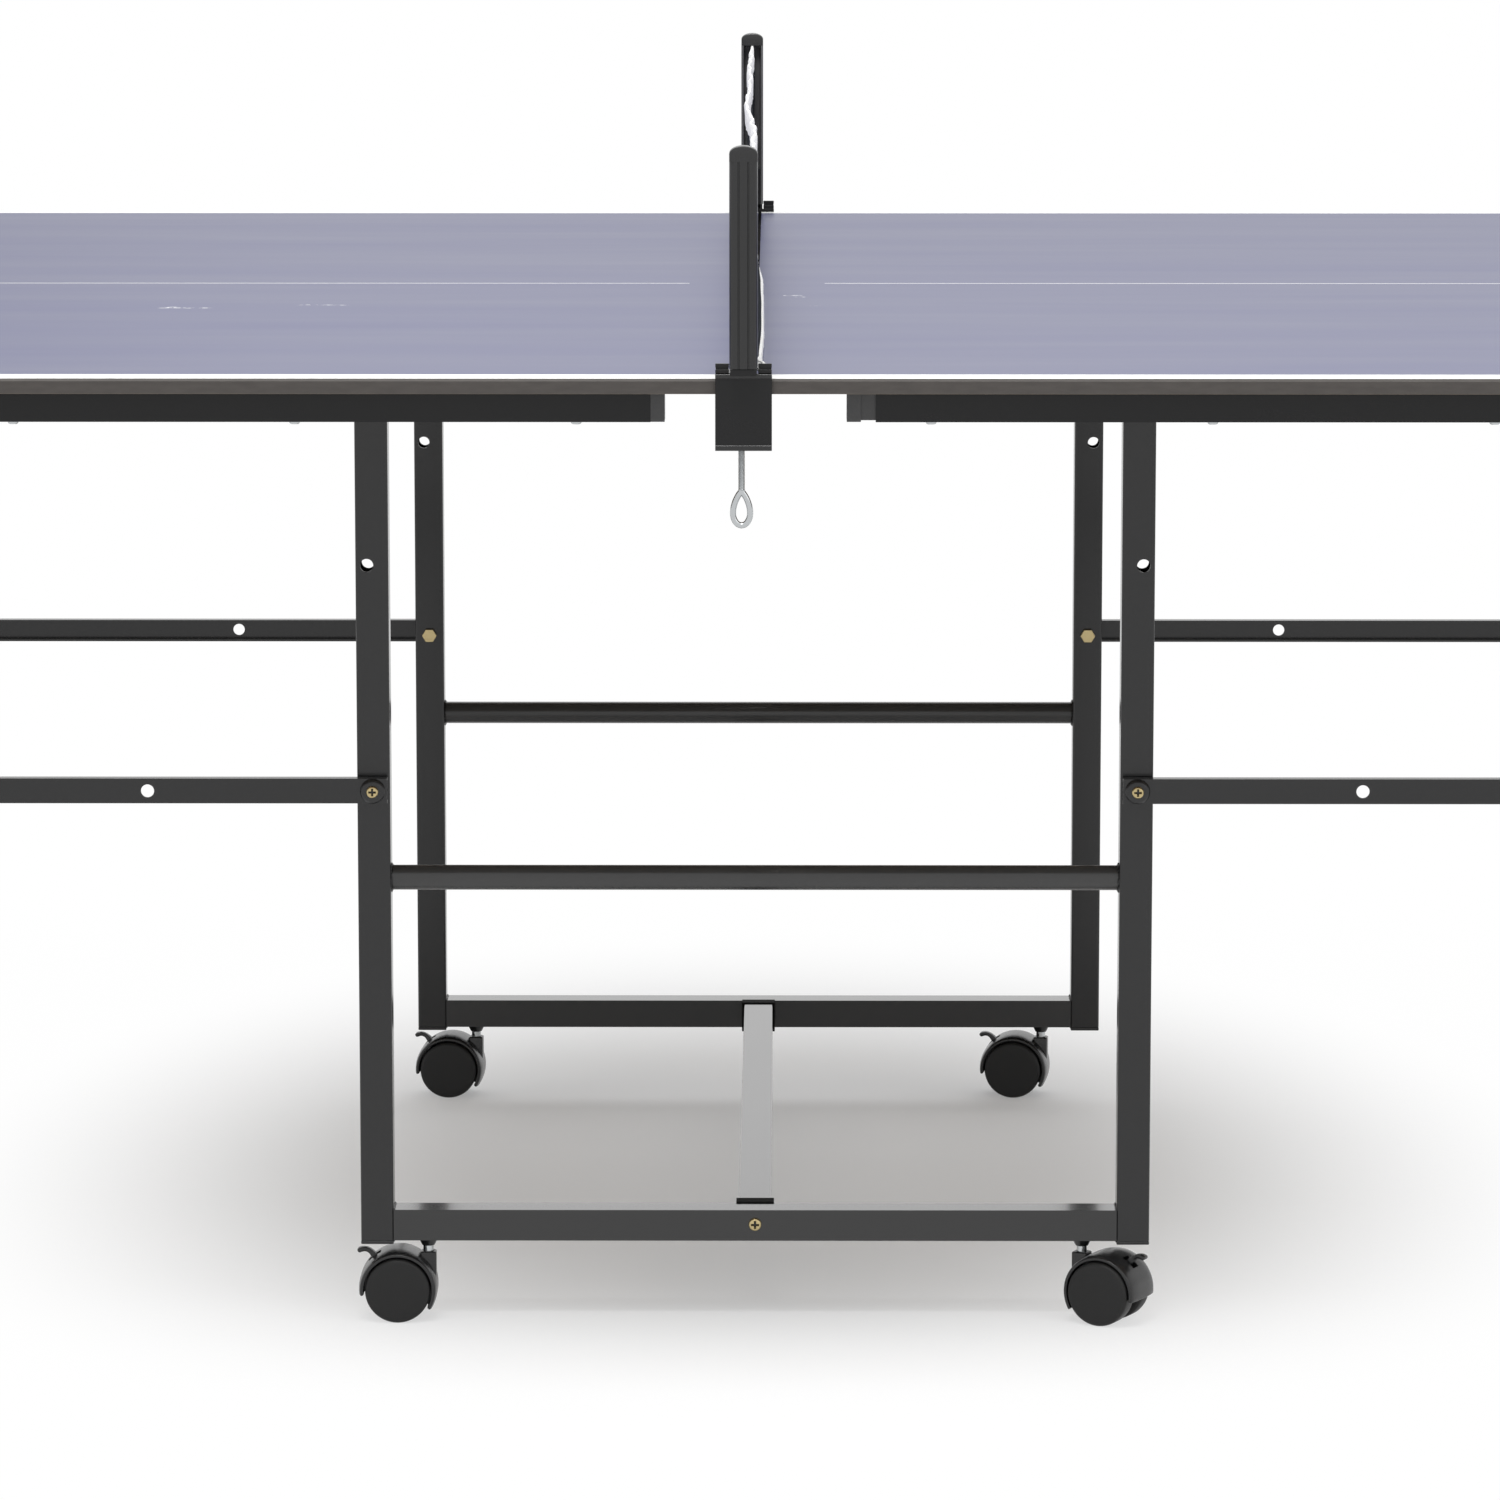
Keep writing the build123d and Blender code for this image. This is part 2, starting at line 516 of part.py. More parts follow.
# Halves of the top
for side, sx in SIDES.items():
    rail_start = RAIL_START[side]
    rail_bottom = UNDER_Z - SIDE_RAIL_H
    cross_bottom = UNDER_Z - CROSS_RAIL
    web_bottom = UNDER_Z - BRACKET_WEB
    # Screws as (x, y, bearing face)
    screws = []
    for sy in ROWS.values():
        for k in range(SCREW_COUNT):
            screws.append((sx * (SCREW_FIRST + k * SCREW_PITCH), sy * SIDE_RAIL_Y, rail_bottom))
        for hinge_x in (POST_X, LEG_X):
            for step in (-BRACKET_SCREW_OUT, BRACKET_SCREW_OUT):
                screws.append((sx * (hinge_x + step), sy * POST_Y, web_bottom))
        for rail_x in (INNER_CROSS_RAIL_X, END_RAIL_X):
            screws.append((sx * rail_x, sy * CROSS_SCREW_OUT, cross_bottom))

    with BuildPart() as top:
        with at(sx * (SEAM_X + HALF_X) / 2, 0, UNDER_Z + TOP_T / 2):
            Box(HALF_X - SEAM_X, WIDTH, TOP_T)
        rim = top.faces().sort_by(Axis.Z)[-1].edges().sort_by(Axis.X)
        chamfer(rim[:-1] if sx < 0 else rim[1:], TOP_CHAMFER)
        for x, y, z in screws:
            with at(x, y, UNDER_Z + SCREW_DEPTH / 2):
                Cylinder(SCREW_R, SCREW_DEPTH, mode=Mode.SUBTRACT)
    keep(top, f"{side}_top")

    with BuildPart() as side_rails:
        rail_length = SIDE_RAIL_END - rail_start
        for sy in ROWS.values():
            with at(sx * (rail_start + SIDE_RAIL_END) / 2, sy * SIDE_RAIL_Y, SIDE_RAIL_Z):
                Box(rail_length, SIDE_RAIL_D, SIDE_RAIL_H)
                Box(
                    rail_length,
                    SIDE_RAIL_D - 2 * SIDE_RAIL_WALL,
                    SIDE_RAIL_H - 2 * SIDE_RAIL_WALL,
                    mode=Mode.SUBTRACT,
                )
        for x, y, z in screws:
            if z == rail_bottom:
                with at(x, y, SIDE_RAIL_Z):
                    Cylinder(SCREW_R, 2 * SIDE_RAIL_H, mode=Mode.SUBTRACT)
    keep(side_rails, f"{side}_side_rails")

    with BuildPart() as caps:
        neck_d = SIDE_RAIL_D - 2 * SIDE_RAIL_WALL - 2 * CAP_FIT
        neck_h = SIDE_RAIL_H - 2 * SIDE_RAIL_WALL - 2 * CAP_FIT
        for row, sy in ROWS.items():
            pulled = CAP_PULLED_OUT if (row, side) == ("near", "right") else 0.0
            for end_x, way in ((rail_start - pulled, -1), (SIDE_RAIL_END, 1)):
                flange_face = Plane(
                    origin=(sx * end_x, sy * SIDE_RAIL_Y, SIDE_RAIL_Z),
                    x_dir=(0, 1, 0),
                    z_dir=(sx * way, 0, 0),
                )
                with BuildSketch(flange_face):
                    RectangleRounded(SIDE_RAIL_D, SIDE_RAIL_H, CAP_CORNER)
                extrude(amount=CAP_FLANGE)
                with BuildSketch(flange_face):
                    Rectangle(neck_d, neck_h)
                extrude(amount=-CAP_NECK)
    keep(caps, f"{side}_rail_caps")

    with BuildPart() as cross_rails:
        for rail_x, length in (
            (INNER_CROSS_RAIL_X, INNER_CROSS_RAIL_LENGTH),
            (END_RAIL_X, END_RAIL_LENGTH),
        ):
            with at(sx * rail_x, 0, CROSS_RAIL_Z):
                Box(CROSS_RAIL, length, CROSS_RAIL)
                Box(
                    CROSS_RAIL - 2 * CROSS_RAIL_WALL,
                    length,
                    CROSS_RAIL - 2 * CROSS_RAIL_WALL,
                    mode=Mode.SUBTRACT,
                )
        for x, y, z in screws:
            if z == cross_bottom:
                with at(x, y, CROSS_RAIL_Z):
                    Cylinder(SCREW_R, 2 * CROSS_RAIL, mode=Mode.SUBTRACT)
    keep(cross_rails, f"{side}_cross_rails")

    with BuildPart() as brackets:
        for sy in ROWS.values():
            for hinge_x in (POST_X, LEG_X):
                with at(sx * hinge_x, sy * POST_Y, UNDER_Z - BRACKET_WEB / 2):
                    Box(BRACKET_LENGTH, 2 * CHEEK_OUT, BRACKET_WEB)
                for k in (-1, 1):
                    cheek_y = sy * POST_Y + k * (CHEEK_IN + CHEEK_OUT) / 2
                    with at(sx * hinge_x, cheek_y, PIVOT_Z, ALONG_Y):
                        Cylinder(BRACKET_CHEEK_R, BRACKET_CHEEK)
                    with at(sx * hinge_x, cheek_y, (PIVOT_Z + UNDER_Z) / 2):
                        Box(2 * BRACKET_CHEEK_R, BRACKET_CHEEK, HINGE_DROP)
                with at(sx * hinge_x, sy * POST_Y, PIVOT_Z, ALONG_Y):
                    Cylinder(PIN_R, 4 * CHEEK_OUT, mode=Mode.SUBTRACT)
        for x, y, z in screws:
            if z == web_bottom:
                with at(x, y, UNDER_Z):
                    Cylinder(SCREW_R, 4 * BRACKET_WEB, mode=Mode.SUBTRACT)
    keep(brackets, f"{side}_hinge_brackets")

    with BuildPart() as pins:
        for sy in ROWS.values():
            for hinge_x in (POST_X, LEG_X):
                pin_length = 2 * CHEEK_OUT + PIN_PROUD
                with at(sx * hinge_x, sy * (POST_Y + PIN_PROUD / 2), PIVOT_Z, ALONG_Y):
                    Cylinder(PIN_R, pin_length)
                head_y = sy * (POST_Y - CHEEK_OUT - PIN_HEAD_H / 2)
                with at(sx * hinge_x, head_y, PIVOT_Z, ALONG_Y):
                    Cylinder(PIN_HEAD_R, PIN_HEAD_H)
    keep(pins, f"{side}_hinge_pins")

    with BuildPart() as rail_screws:
        for x, y, z in screws:
            with at(x, y, z - SCREW_HEAD_H / 2):
                Cone(SCREW_HEAD_R * 0.6, SCREW_HEAD_R, SCREW_HEAD_H)
            shank = UNDER_Z + SCREW_DEPTH - z
            with at(x, y, z + shank / 2):
                Cylinder(SCREW_R, shank)
    keep(rail_screws, f"{side}_rail_screws")

# Legs: hinged under the halves and held upright by the bars
for side, sx in SIDES.items():
    with BuildPart() as legs:
        for sy in ROWS.values():
            with BuildSketch(Plane.XY.offset(FOOT_FLOOR)):
                with Locations((sx * LEG_X, sy * POST_Y)):
                    RectangleRounded(POST, POST, POST_CORNER)
                    Rectangle(POST - 2 * POST_WALL, POST - 2 * POST_WALL, mode=Mode.SUBTRACT)
            extrude(amount=POST_TOP - FOOT_FLOOR)
            with at(sx * LEG_X, sy * POST_Y, PIVOT_Z, ALONG_Y):
                Cylinder(PIN_R + PIN_FIT, 2 * POST, mode=Mode.SUBTRACT)
            with at(sx * LEG_X, sy * POST_Y, BAR_PIVOT_Z, ALONG_Y):
                Cylinder(BOLT_R + BOLT_CLEARANCE, 2 * POST, mode=Mode.SUBTRACT)
    keep(legs, f"{side}_legs")

    with BuildPart() as leg_rung:
        with at(sx * LEG_X, 0, LEG_RUNG_Z, ALONG_Y):
            Cylinder(RUNG_D / 2, 2 * POST_INNER_Y)
            Cylinder(RUNG_D / 2 - RUNG_WALL, 2 * POST_INNER_Y, mode=Mode.SUBTRACT)
    keep(leg_rung, f"{side}_leg_rung")

    with BuildPart() as feet:
        for sy in ROWS.values():
            with BuildSketch(Plane.XY):
                with Locations((sx * LEG_X, sy * POST_Y)):
                    RectangleRounded(FOOT_SIZE, FOOT_SIZE, 2 * POST_CORNER)
            extrude(amount=FOOT_H)
            with BuildSketch(Plane.XY.offset(FOOT_FLOOR)):
                with Locations((sx * LEG_X, sy * POST_Y)):
                    RectangleRounded(POST, POST, POST_CORNER)
            extrude(amount=FOOT_H, mode=Mode.SUBTRACT)
    keep(feet, f"{side}_feet")

# Link bars: channels open towards the frame, near and far, with their leg bolts
for side, sx in SIDES.items():
    with BuildPart() as bars:
        bar_span = BAR_LENGTH + 2 * BAR_OVERRUN
        bar_mid = sx * (POST_X + BAR_LENGTH / 2)
        for sy in ROWS.values():
            with at(bar_mid, sy * (BAR_INNER_Y + BAR_D / 2), BAR_PIVOT_Z):
                Box(bar_span, BAR_D, BAR_H)
            with at(bar_mid, sy * (BAR_INNER_Y + (BAR_D - BAR_T) / 2), BAR_PIVOT_Z):
                Box(bar_span, BAR_D - BAR_T, BAR_H - 2 * BAR_T, mode=Mode.SUBTRACT)
            for x, r in (
                (POST_X, BOLT_R + BOLT_FIT),
                (POST_X + LOCK_RADIUS, LOCK_HOLE_R),
                (LEG_X, BOLT_R),
            ):
                with at(sx * x, sy * BAR_OUTER_Y, BAR_PIVOT_Z, ALONG_Y):
                    Cylinder(r, 4 * BAR_T, mode=Mode.SUBTRACT)
    keep(bars, f"{side}_bars")

    with BuildPart() as bar_bolts:
        head_y = BAR_OUTER_Y + WASHER_H
        nut_y = POST_INNER_Y - SIDE_PLAY
        shank = head_y - (nut_y - NUT_H)
        bush_in = POST_OUTER_Y + SIDE_PLAY
        for sy in ROWS.values():
            with at(sx * LEG_X, sy * (head_y - shank / 2), BAR_PIVOT_Z, ALONG_Y):
                Cylinder(BOLT_R, shank)
            with at(sx * LEG_X, sy * (nut_y - NUT_H / 2), BAR_PIVOT_Z, ALONG_Y):
                Cylinder(NUT_R, NUT_H)
            with at(sx * LEG_X, sy * (bush_in + BAR_WEB_Y) / 2, BAR_PIVOT_Z, ALONG_Y):
                Cylinder(BUSH_R, BAR_WEB_Y - bush_in)
            with at(sx * LEG_X, sy * (BAR_OUTER_Y + WASHER_H / 2), BAR_PIVOT_Z, (90 * -sy, 0, 0)):
                Cone(WASHER_R, WASHER_R * 0.62, WASHER_H)
            with at(sx * LEG_X, sy * (head_y + BOLT_HEAD_H / 2), BAR_PIVOT_Z, ALONG_Y):
                Cylinder(BOLT_HEAD_R, BOLT_HEAD_H)
    keep(bar_bolts, f"{side}_bar_bolts")

# Net clamps: a plate outside the edge, jaws over and under the left half only
plate_mid_y = PLATE_Y + CLAMP_T / 2
jaw_inner_y = PLATE_Y - JAW_REACH
jaw_right_x = -SEAM_X - CLAMP_SEAM_CLEAR
jaw_mid_x = (CLAMP_LEFT_X + jaw_right_x) / 2
jaw_w = jaw_right_x - CLAMP_LEFT_X
clamp_axis_x = jaw_right_x - CLAMP_AXIS_EDGE
top_jaw_z = HEIGHT + TOP_JAW_PLAY
tongue_half = NET_POST_W / 2 - NET_POST_WALL - TONGUE_FIT
tongue_out_y = NET_POST_OUT_Y - NET_POST_WALL - TONGUE_FIT
lip_w = (CLAMP_W - NET_POST_W) / 2 - TONGUE_FIT
shoulder_z = NET_POST_FOOT - TONGUE_FIT
with BuildPart() as clamps:
    for sy in ROWS.values():
        with at(NET_X, sy * plate_mid_y, (CLAMP_BOTTOM + shoulder_z) / 2):
            Box(CLAMP_W, CLAMP_T, shoulder_z - CLAMP_BOTTOM)
        for k in (-1, 1):
            with at(NET_X + k * (CLAMP_W - lip_w) / 2, sy * plate_mid_y, (CLAMP_BOTTOM + CLAMP_LIP_TOP) / 2):
                Box(lip_w, CLAMP_T, CLAMP_LIP_TOP - CLAMP_BOTTOM)
        with at(NET_X, sy * (PLATE_Y + tongue_out_y) / 2, (shoulder_z - TONGUE_DROP + TONGUE_TOP) / 2):
            Box(2 * tongue_half, tongue_out_y - PLATE_Y, TONGUE_TOP - shoulder_z + TONGUE_DROP)
        with at(jaw_mid_x, sy * (jaw_inner_y + PLATE_Y) / 2, top_jaw_z + TOP_JAW_T / 2):
            Box(jaw_w, JAW_REACH, TOP_JAW_T)
        with at(jaw_mid_x, sy * (jaw_inner_y + PLATE_Y) / 2, CLAMP_BOTTOM + CLAMP_T / 2):
            Box(jaw_w, JAW_REACH, CLAMP_T)
        with at(clamp_axis_x, sy * CLAMP_AXIS_Y, CLAMP_BOTTOM + CLAMP_T + NUT_BOSS_H / 2):
            Cylinder(NUT_BOSS_R, NUT_BOSS_H)
        with at(clamp_axis_x, sy * CLAMP_AXIS_Y, CLAMP_BOTTOM):
            Cylinder(CLAMP_SCREW_R + CLAMP_SCREW_FIT, 4 * (CLAMP_T + NUT_BOSS_H), mode=Mode.SUBTRACT)
keep(clamps, "net_clamps")

# Net posts: channels open towards the table, over the tongues of the clamps
post_inner_y = PLATE_Y + NET_EDGE_GAP
with BuildPart() as net_posts:
    for sy in ROWS.values():
        with at(NET_X, sy * (post_inner_y + NET_POST_D / 2), (NET_POST_FOOT + NET_TOP) / 2):
            Box(NET_POST_W, NET_POST_D, NET_TOP - NET_POST_FOOT)
        cavity_d = NET_POST_D - NET_POST_WALL
        with at(NET_X, sy * (post_inner_y + cavity_d / 2), (NET_POST_FOOT + NET_TOP) / 2):
            Box(
                NET_POST_W - 2 * NET_POST_WALL,
                cavity_d,
                NET_TOP - NET_POST_FOOT,
                mode=Mode.SUBTRACT,
            )
    fillet(
        net_posts.edges().filter_by(Axis.Z).group_by(SortBy.DISTANCE)[-1],
        NET_POST_WALL,
    )
keep(net_posts, "net_posts")

with BuildPart() as net_caps:
    for sy in ROWS.values():
        face_y = sy * (post_inner_y + NET_POST_D / 2)
        with BuildSketch(Plane(origin=(NET_X, face_y, NET_TOP), x_dir=(1, 0, 0), z_dir=(0, -1, 0))):
            with BuildLine():
                Line((-NET_POST_W / 2, 0), (NET_POST_W / 2, 0))
                Line((NET_POST_W / 2, 0), (NET_POST_W / 2, NET_CAP_H * 0.35))
                ThreePointArc(
                    (NET_POST_W / 2, NET_CAP_H * 0.35),
                    (0, NET_CAP_H),
                    (-NET_POST_W / 2, NET_CAP_H * 0.35),
                )
                Line((-NET_POST_W / 2, NET_CAP_H * 0.35), (-NET_POST_W / 2, 0))
            make_face()
        extrude(amount=NET_POST_D / 2, both=True)
keep(net_caps, "net_post_caps")

# Pressure pads and eye screws of the clamps
pad_bottom = UNDER_Z - PAD_T
screw_top = pad_bottom + PAD_SOCKET
for row, sy in ROWS.items():
    with BuildPart() as pad:
        with at(clamp_axis_x, sy * CLAMP_AXIS_Y, UNDER_Z - PAD_T / 2):
            Cylinder(PAD_R, PAD_T)
        with at(clamp_axis_x, sy * CLAMP_AXIS_Y, pad_bottom + (PAD_SOCKET + PAD_SOCKET_FIT) / 2):
            Cylinder(CLAMP_SCREW_R + PAD_SOCKET_FIT, PAD_SOCKET + PAD_SOCKET_FIT, mode=Mode.SUBTRACT)
    keep(pad, f"{row}_clamp_pad")

    with BuildPart() as eye_screw:
        with at(clamp_axis_x, sy * CLAMP_AXIS_Y, (EYE_TOP + screw_top) / 2):
            Cylinder(CLAMP_SCREW_R, screw_top - EYE_TOP)
        # Teardrop eye: a ring drawn up to the shank
        ring_r = EYE_W / 2 - EYE_WIRE_R
        ring_z = EYE_TOP - EYE_H + EYE_W / 2
        neck_z = EYE_TOP + EYE_WIRE_R
        rise = neck_z - ring_z
        touch = degrees(acos(ring_r / rise))
        right_touch = (ring_r * sin(radians(touch)), ring_r * cos(radians(touch)))
        eye_view = Plane(
            origin=(clamp_axis_x, sy * CLAMP_AXIS_Y, ring_z), x_dir=(1, 0, 0), z_dir=(0, -1, 0)
        )
        with BuildSketch(eye_view):
            Circle(EYE_W / 2)
            outer = EYE_W / 2 / ring_r
            with BuildLine():
                Polyline(
                    (right_touch[0] * outer, right_touch[1] * outer),
                    (EYE_WIRE_R, rise),
                    (-EYE_WIRE_R, rise),
                    (-right_touch[0] * outer, right_touch[1] * outer),
                    close=True,
                )
            make_face()
            inner = 1 - EYE_WIRE_R / ring_r
            Circle(ring_r * inner, mode=Mode.SUBTRACT)
            with BuildLine():
                Polyline(
                    (right_touch[0] * inner, right_touch[1] * inner),
                    (0, rise * inner),
                    (-right_touch[0] * inner, right_touch[1] * inner),
                    close=True,
                )
            make_face(mode=Mode.SUBTRACT)
        extrude(amount=EYE_WIRE_R, both=True)
    keep(eye_screw, f"{row}_clamp_screw")

# Net: one holed face with its tape, held in the posts by a hem at each end
net_half = EDGE_Y - NET_EDGE_GAP
mesh_bottom = top_jaw_z + TOP_JAW_T + NET_JAW_CLEAR
mesh_top = NET_TOP - NET_TAPE
mesh_h = mesh_top - mesh_bottom
cell_y = 2 * net_half / NET_COLUMNS
cell_z = mesh_h / NET_ROWS
hem_bottom = TONGUE_TOP + NET_HEM_R
hem_top = NET_TOP - NET_HEM_R
with BuildPart() as net_border:
    with at(NET_X, 0, (mesh_top + NET_TOP) / 2):
        Box(NET_TAPE_T, 2 * net_half, NET_TAPE)
    for sy in ROWS.values():
        with at(NET_X, sy * (net_half + NET_HEM_Y) / 2, (hem_bottom + hem_top) / 2):
            Box(NET_T, NET_HEM_Y - net_half, hem_top - hem_bottom)
        with at(NET_X, sy * NET_HEM_Y, (hem_bottom + hem_top) / 2):
            Cylinder(NET_HEM_R, hem_top - hem_bottom)

mesh_gaps = [
    Wire.make_rect(cell_y - NET_STRAND, cell_z - NET_STRAND).moved(place)
    for place in GridLocations(cell_y, cell_z, NET_COLUMNS, NET_ROWS)
]
mesh_face = Face(Wire.make_rect(2 * net_half, mesh_h), mesh_gaps)
mesh_plane = Plane(
    origin=(NET_X - NET_T / 2, 0, mesh_bottom + mesh_h / 2), x_dir=(0, 1, 0), z_dir=(1, 0, 0)
)
with BuildPart() as net:
    extrude(mesh_plane * mesh_face, amount=NET_T, dir=(1, 0, 0))
    add(net_border.part)
keep(net, "net")

print("fold angle", round(FOLD_ANGLE, 3), "pivot height", round(PIVOT_Z, 3), "lock height", round(LOCK_Z, 3))
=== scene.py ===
"""Looks of a folding roll-away ping pong table, dressed around its CAD model.

Every size is in metres, in the CAD model's own frame: X runs along the table,
near is -Y, far is +Y, left is -X and right is +X.
"""

from __future__ import annotations

import json
import logging
import math
import random
from dataclasses import dataclass, field
from enum import Enum
from typing import Any, Callable, Iterable, Mapping, Sequence

import bmesh
import bpy
from mathutils import Matrix, Vector

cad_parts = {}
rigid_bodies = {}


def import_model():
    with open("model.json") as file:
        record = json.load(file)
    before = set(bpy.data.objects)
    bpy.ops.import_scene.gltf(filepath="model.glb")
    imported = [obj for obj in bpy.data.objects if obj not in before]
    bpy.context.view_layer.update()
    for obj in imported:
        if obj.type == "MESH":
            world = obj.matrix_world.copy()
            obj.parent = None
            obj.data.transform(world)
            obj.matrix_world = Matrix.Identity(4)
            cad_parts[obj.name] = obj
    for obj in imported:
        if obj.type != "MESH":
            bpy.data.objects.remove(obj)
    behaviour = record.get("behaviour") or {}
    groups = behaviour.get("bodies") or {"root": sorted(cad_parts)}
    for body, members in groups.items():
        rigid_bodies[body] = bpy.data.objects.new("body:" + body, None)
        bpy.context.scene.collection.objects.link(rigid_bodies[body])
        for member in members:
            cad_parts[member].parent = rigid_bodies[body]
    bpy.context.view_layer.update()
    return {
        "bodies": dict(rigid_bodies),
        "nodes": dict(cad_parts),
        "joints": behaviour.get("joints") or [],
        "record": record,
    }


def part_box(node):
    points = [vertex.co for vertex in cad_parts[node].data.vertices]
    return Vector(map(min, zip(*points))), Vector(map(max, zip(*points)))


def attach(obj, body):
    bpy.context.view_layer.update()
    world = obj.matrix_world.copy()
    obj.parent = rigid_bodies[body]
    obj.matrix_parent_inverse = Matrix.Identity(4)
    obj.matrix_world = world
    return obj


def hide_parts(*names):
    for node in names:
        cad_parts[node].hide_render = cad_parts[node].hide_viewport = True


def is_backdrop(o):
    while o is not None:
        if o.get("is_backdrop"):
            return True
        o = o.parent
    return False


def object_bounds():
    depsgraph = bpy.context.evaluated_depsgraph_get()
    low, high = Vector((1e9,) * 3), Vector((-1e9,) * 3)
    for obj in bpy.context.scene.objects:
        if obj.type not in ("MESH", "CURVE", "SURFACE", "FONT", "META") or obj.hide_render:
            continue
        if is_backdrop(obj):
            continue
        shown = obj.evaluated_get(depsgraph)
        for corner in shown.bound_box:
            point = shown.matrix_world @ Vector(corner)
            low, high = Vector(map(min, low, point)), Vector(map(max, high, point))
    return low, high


LOG = logging.getLogger("ping_pong_table")
MM = 0.001

Colour = tuple[float, float, float]
SIDES: dict[str, int] = {"left": -1, "right": 1}
ROWS: dict[str, int] = {"near": -1, "far": 1}
Span = tuple[float, float]
Outline = list[tuple[float, float]]


class Axis(Enum):
    """Directions that pieces face."""

    DOWN = (0.0, 0.0, -1.0)
    NEAR = (0.0, -1.0, 0.0)
    FAR = (0.0, 1.0, 0.0)

    @property
    def vector(self) -> Vector:
        """The direction as a vector."""
        return Vector(self.value)


# Shaders


class Value:
    """A shader socket that takes part in Python arithmetic."""

    def __init__(self, shader: "ShaderTree", socket: bpy.types.NodeSocket) -> None:
        """Wraps one output socket.

        Args:
            shader: The shader that owns the socket.
            socket: The output socket.
        """
        self.shader = shader
        self.socket = socket

    def __add__(self, other: "Value | float") -> "Value":
        """The sum."""
        return self.shader.math("ADD", self, other)

    def __radd__(self, other: float) -> "Value":
        """The sum, with the number first."""
        return self.shader.math("ADD", other, self)

    def __sub__(self, other: "Value | float") -> "Value":
        """The difference."""
        return self.shader.math("SUBTRACT", self, other)

    def __rsub__(self, other: float) -> "Value":
        """The difference, with the number first."""
        return self.shader.math("SUBTRACT", other, self)

    def __mul__(self, other: "Value | float") -> "Value":
        """The product."""
        return self.shader.math("MULTIPLY", self, other)

    def __rmul__(self, other: float) -> "Value":
        """The product, with the number first."""
        return self.shader.math("MULTIPLY", other, self)

    def __gt__(self, other: "Value | float") -> "Value":
        """One where this is larger, else zero."""
        return self.shader.math("GREATER_THAN", self, other)

    def __lt__(self, other: "Value | float") -> "Value":
        """One where this is smaller, else zero."""
        return self.shader.math("LESS_THAN", self, other)

    def __abs__(self) -> "Value":
        """The size without its sign."""
        return self.shader.math("ABSOLUTE", self)

    def either(self, other: "Value | float") -> "Value":
        """The larger of two values, which joins two masks."""
        return self.shader.math("MAXIMUM", self, other)

    def ramp(self, low: float, high: float) -> "Value":
        """A smooth step.

        Args:
            low: Where the step leaves zero.
            high: Where the step reaches one.

        Returns:
            The stepped value.
        """
        inputs = {"Value": self, "From Min": low, "From Max": high}
        return self.shader.node("ShaderNodeMapRange", {"interpolation_type": "SMOOTHSTEP"}, inputs)


class NodeTree:
    """A node tree of any kind."""

    def __init__(self, tree: bpy.types.NodeTree) -> None:
        """Keeps the tree."""
        self.tree = tree

    def add(
        self,
        kind: str,
        settings: Mapping[str, Any] | None = None,
        inputs: Mapping[str | int, Any] | None = None,
    ) -> bpy.types.bpy_prop_collection:
        """Adds a node.

        Args:
            kind: The node's type.
            settings: Its properties, set first.
            inputs: Values or links of its sockets.

        Returns:
            Its outputs.
        """
        made = self.tree.nodes.new(kind)
        for key, value in (settings or {}).items():
            setattr(made, key, value)
        for key, value in (inputs or {}).items():
            self.feed(made.inputs[key], value)
        return made.outputs

    def feed(self, socket: bpy.types.NodeSocket, value: Any) -> None:
        """Links an output to a socket, or sets a plain value on it.

        Args:
            socket: The input socket.
            value: A wrapped or bare output, or a plain value.
        """
        source = value.socket if isinstance(value, Value) else value
        if isinstance(source, bpy.types.NodeSocket):
            self.tree.links.new(source, socket)
        else:
            socket.default_value = source


class ShaderTree(NodeTree):
    """A shader node tree whose outputs take part in arithmetic."""

    def node(
        self,
        kind: str,
        settings: Mapping[str, Any] | None = None,
        inputs: Mapping[str | int, Any] | None = None,
        output: str | int = 0,
    ) -> Value:
        """Adds a node and wraps one of its outputs.

        Args:
            kind: The node's type.
            settings: Its properties, set first.
            inputs: Values or links of its sockets.
            output: The output that is wanted.

        Returns:
            The wanted output.
        """
        return Value(self, self.add(kind, settings, inputs)[output])

    def math(self, operation: str, *terms: "Value | float") -> Value:
        """Adds a Math node on one or two terms."""
        return self.node("ShaderNodeMath", {"operation": operation}, dict(enumerate(terms)))

    def seen(self) -> Value:
        """One for rays of the camera, of reflections and through clear things.

        Returns:
            The mask, which is zero for all other rays.
        """
        mask = self.node("ShaderNodeLightPath", output="Is Camera Ray")
        for name in ("Is Glossy Ray", "Is Transmission Ray"):
            mask = mask.either(self.node("ShaderNodeLightPath", output=name))
        return mask


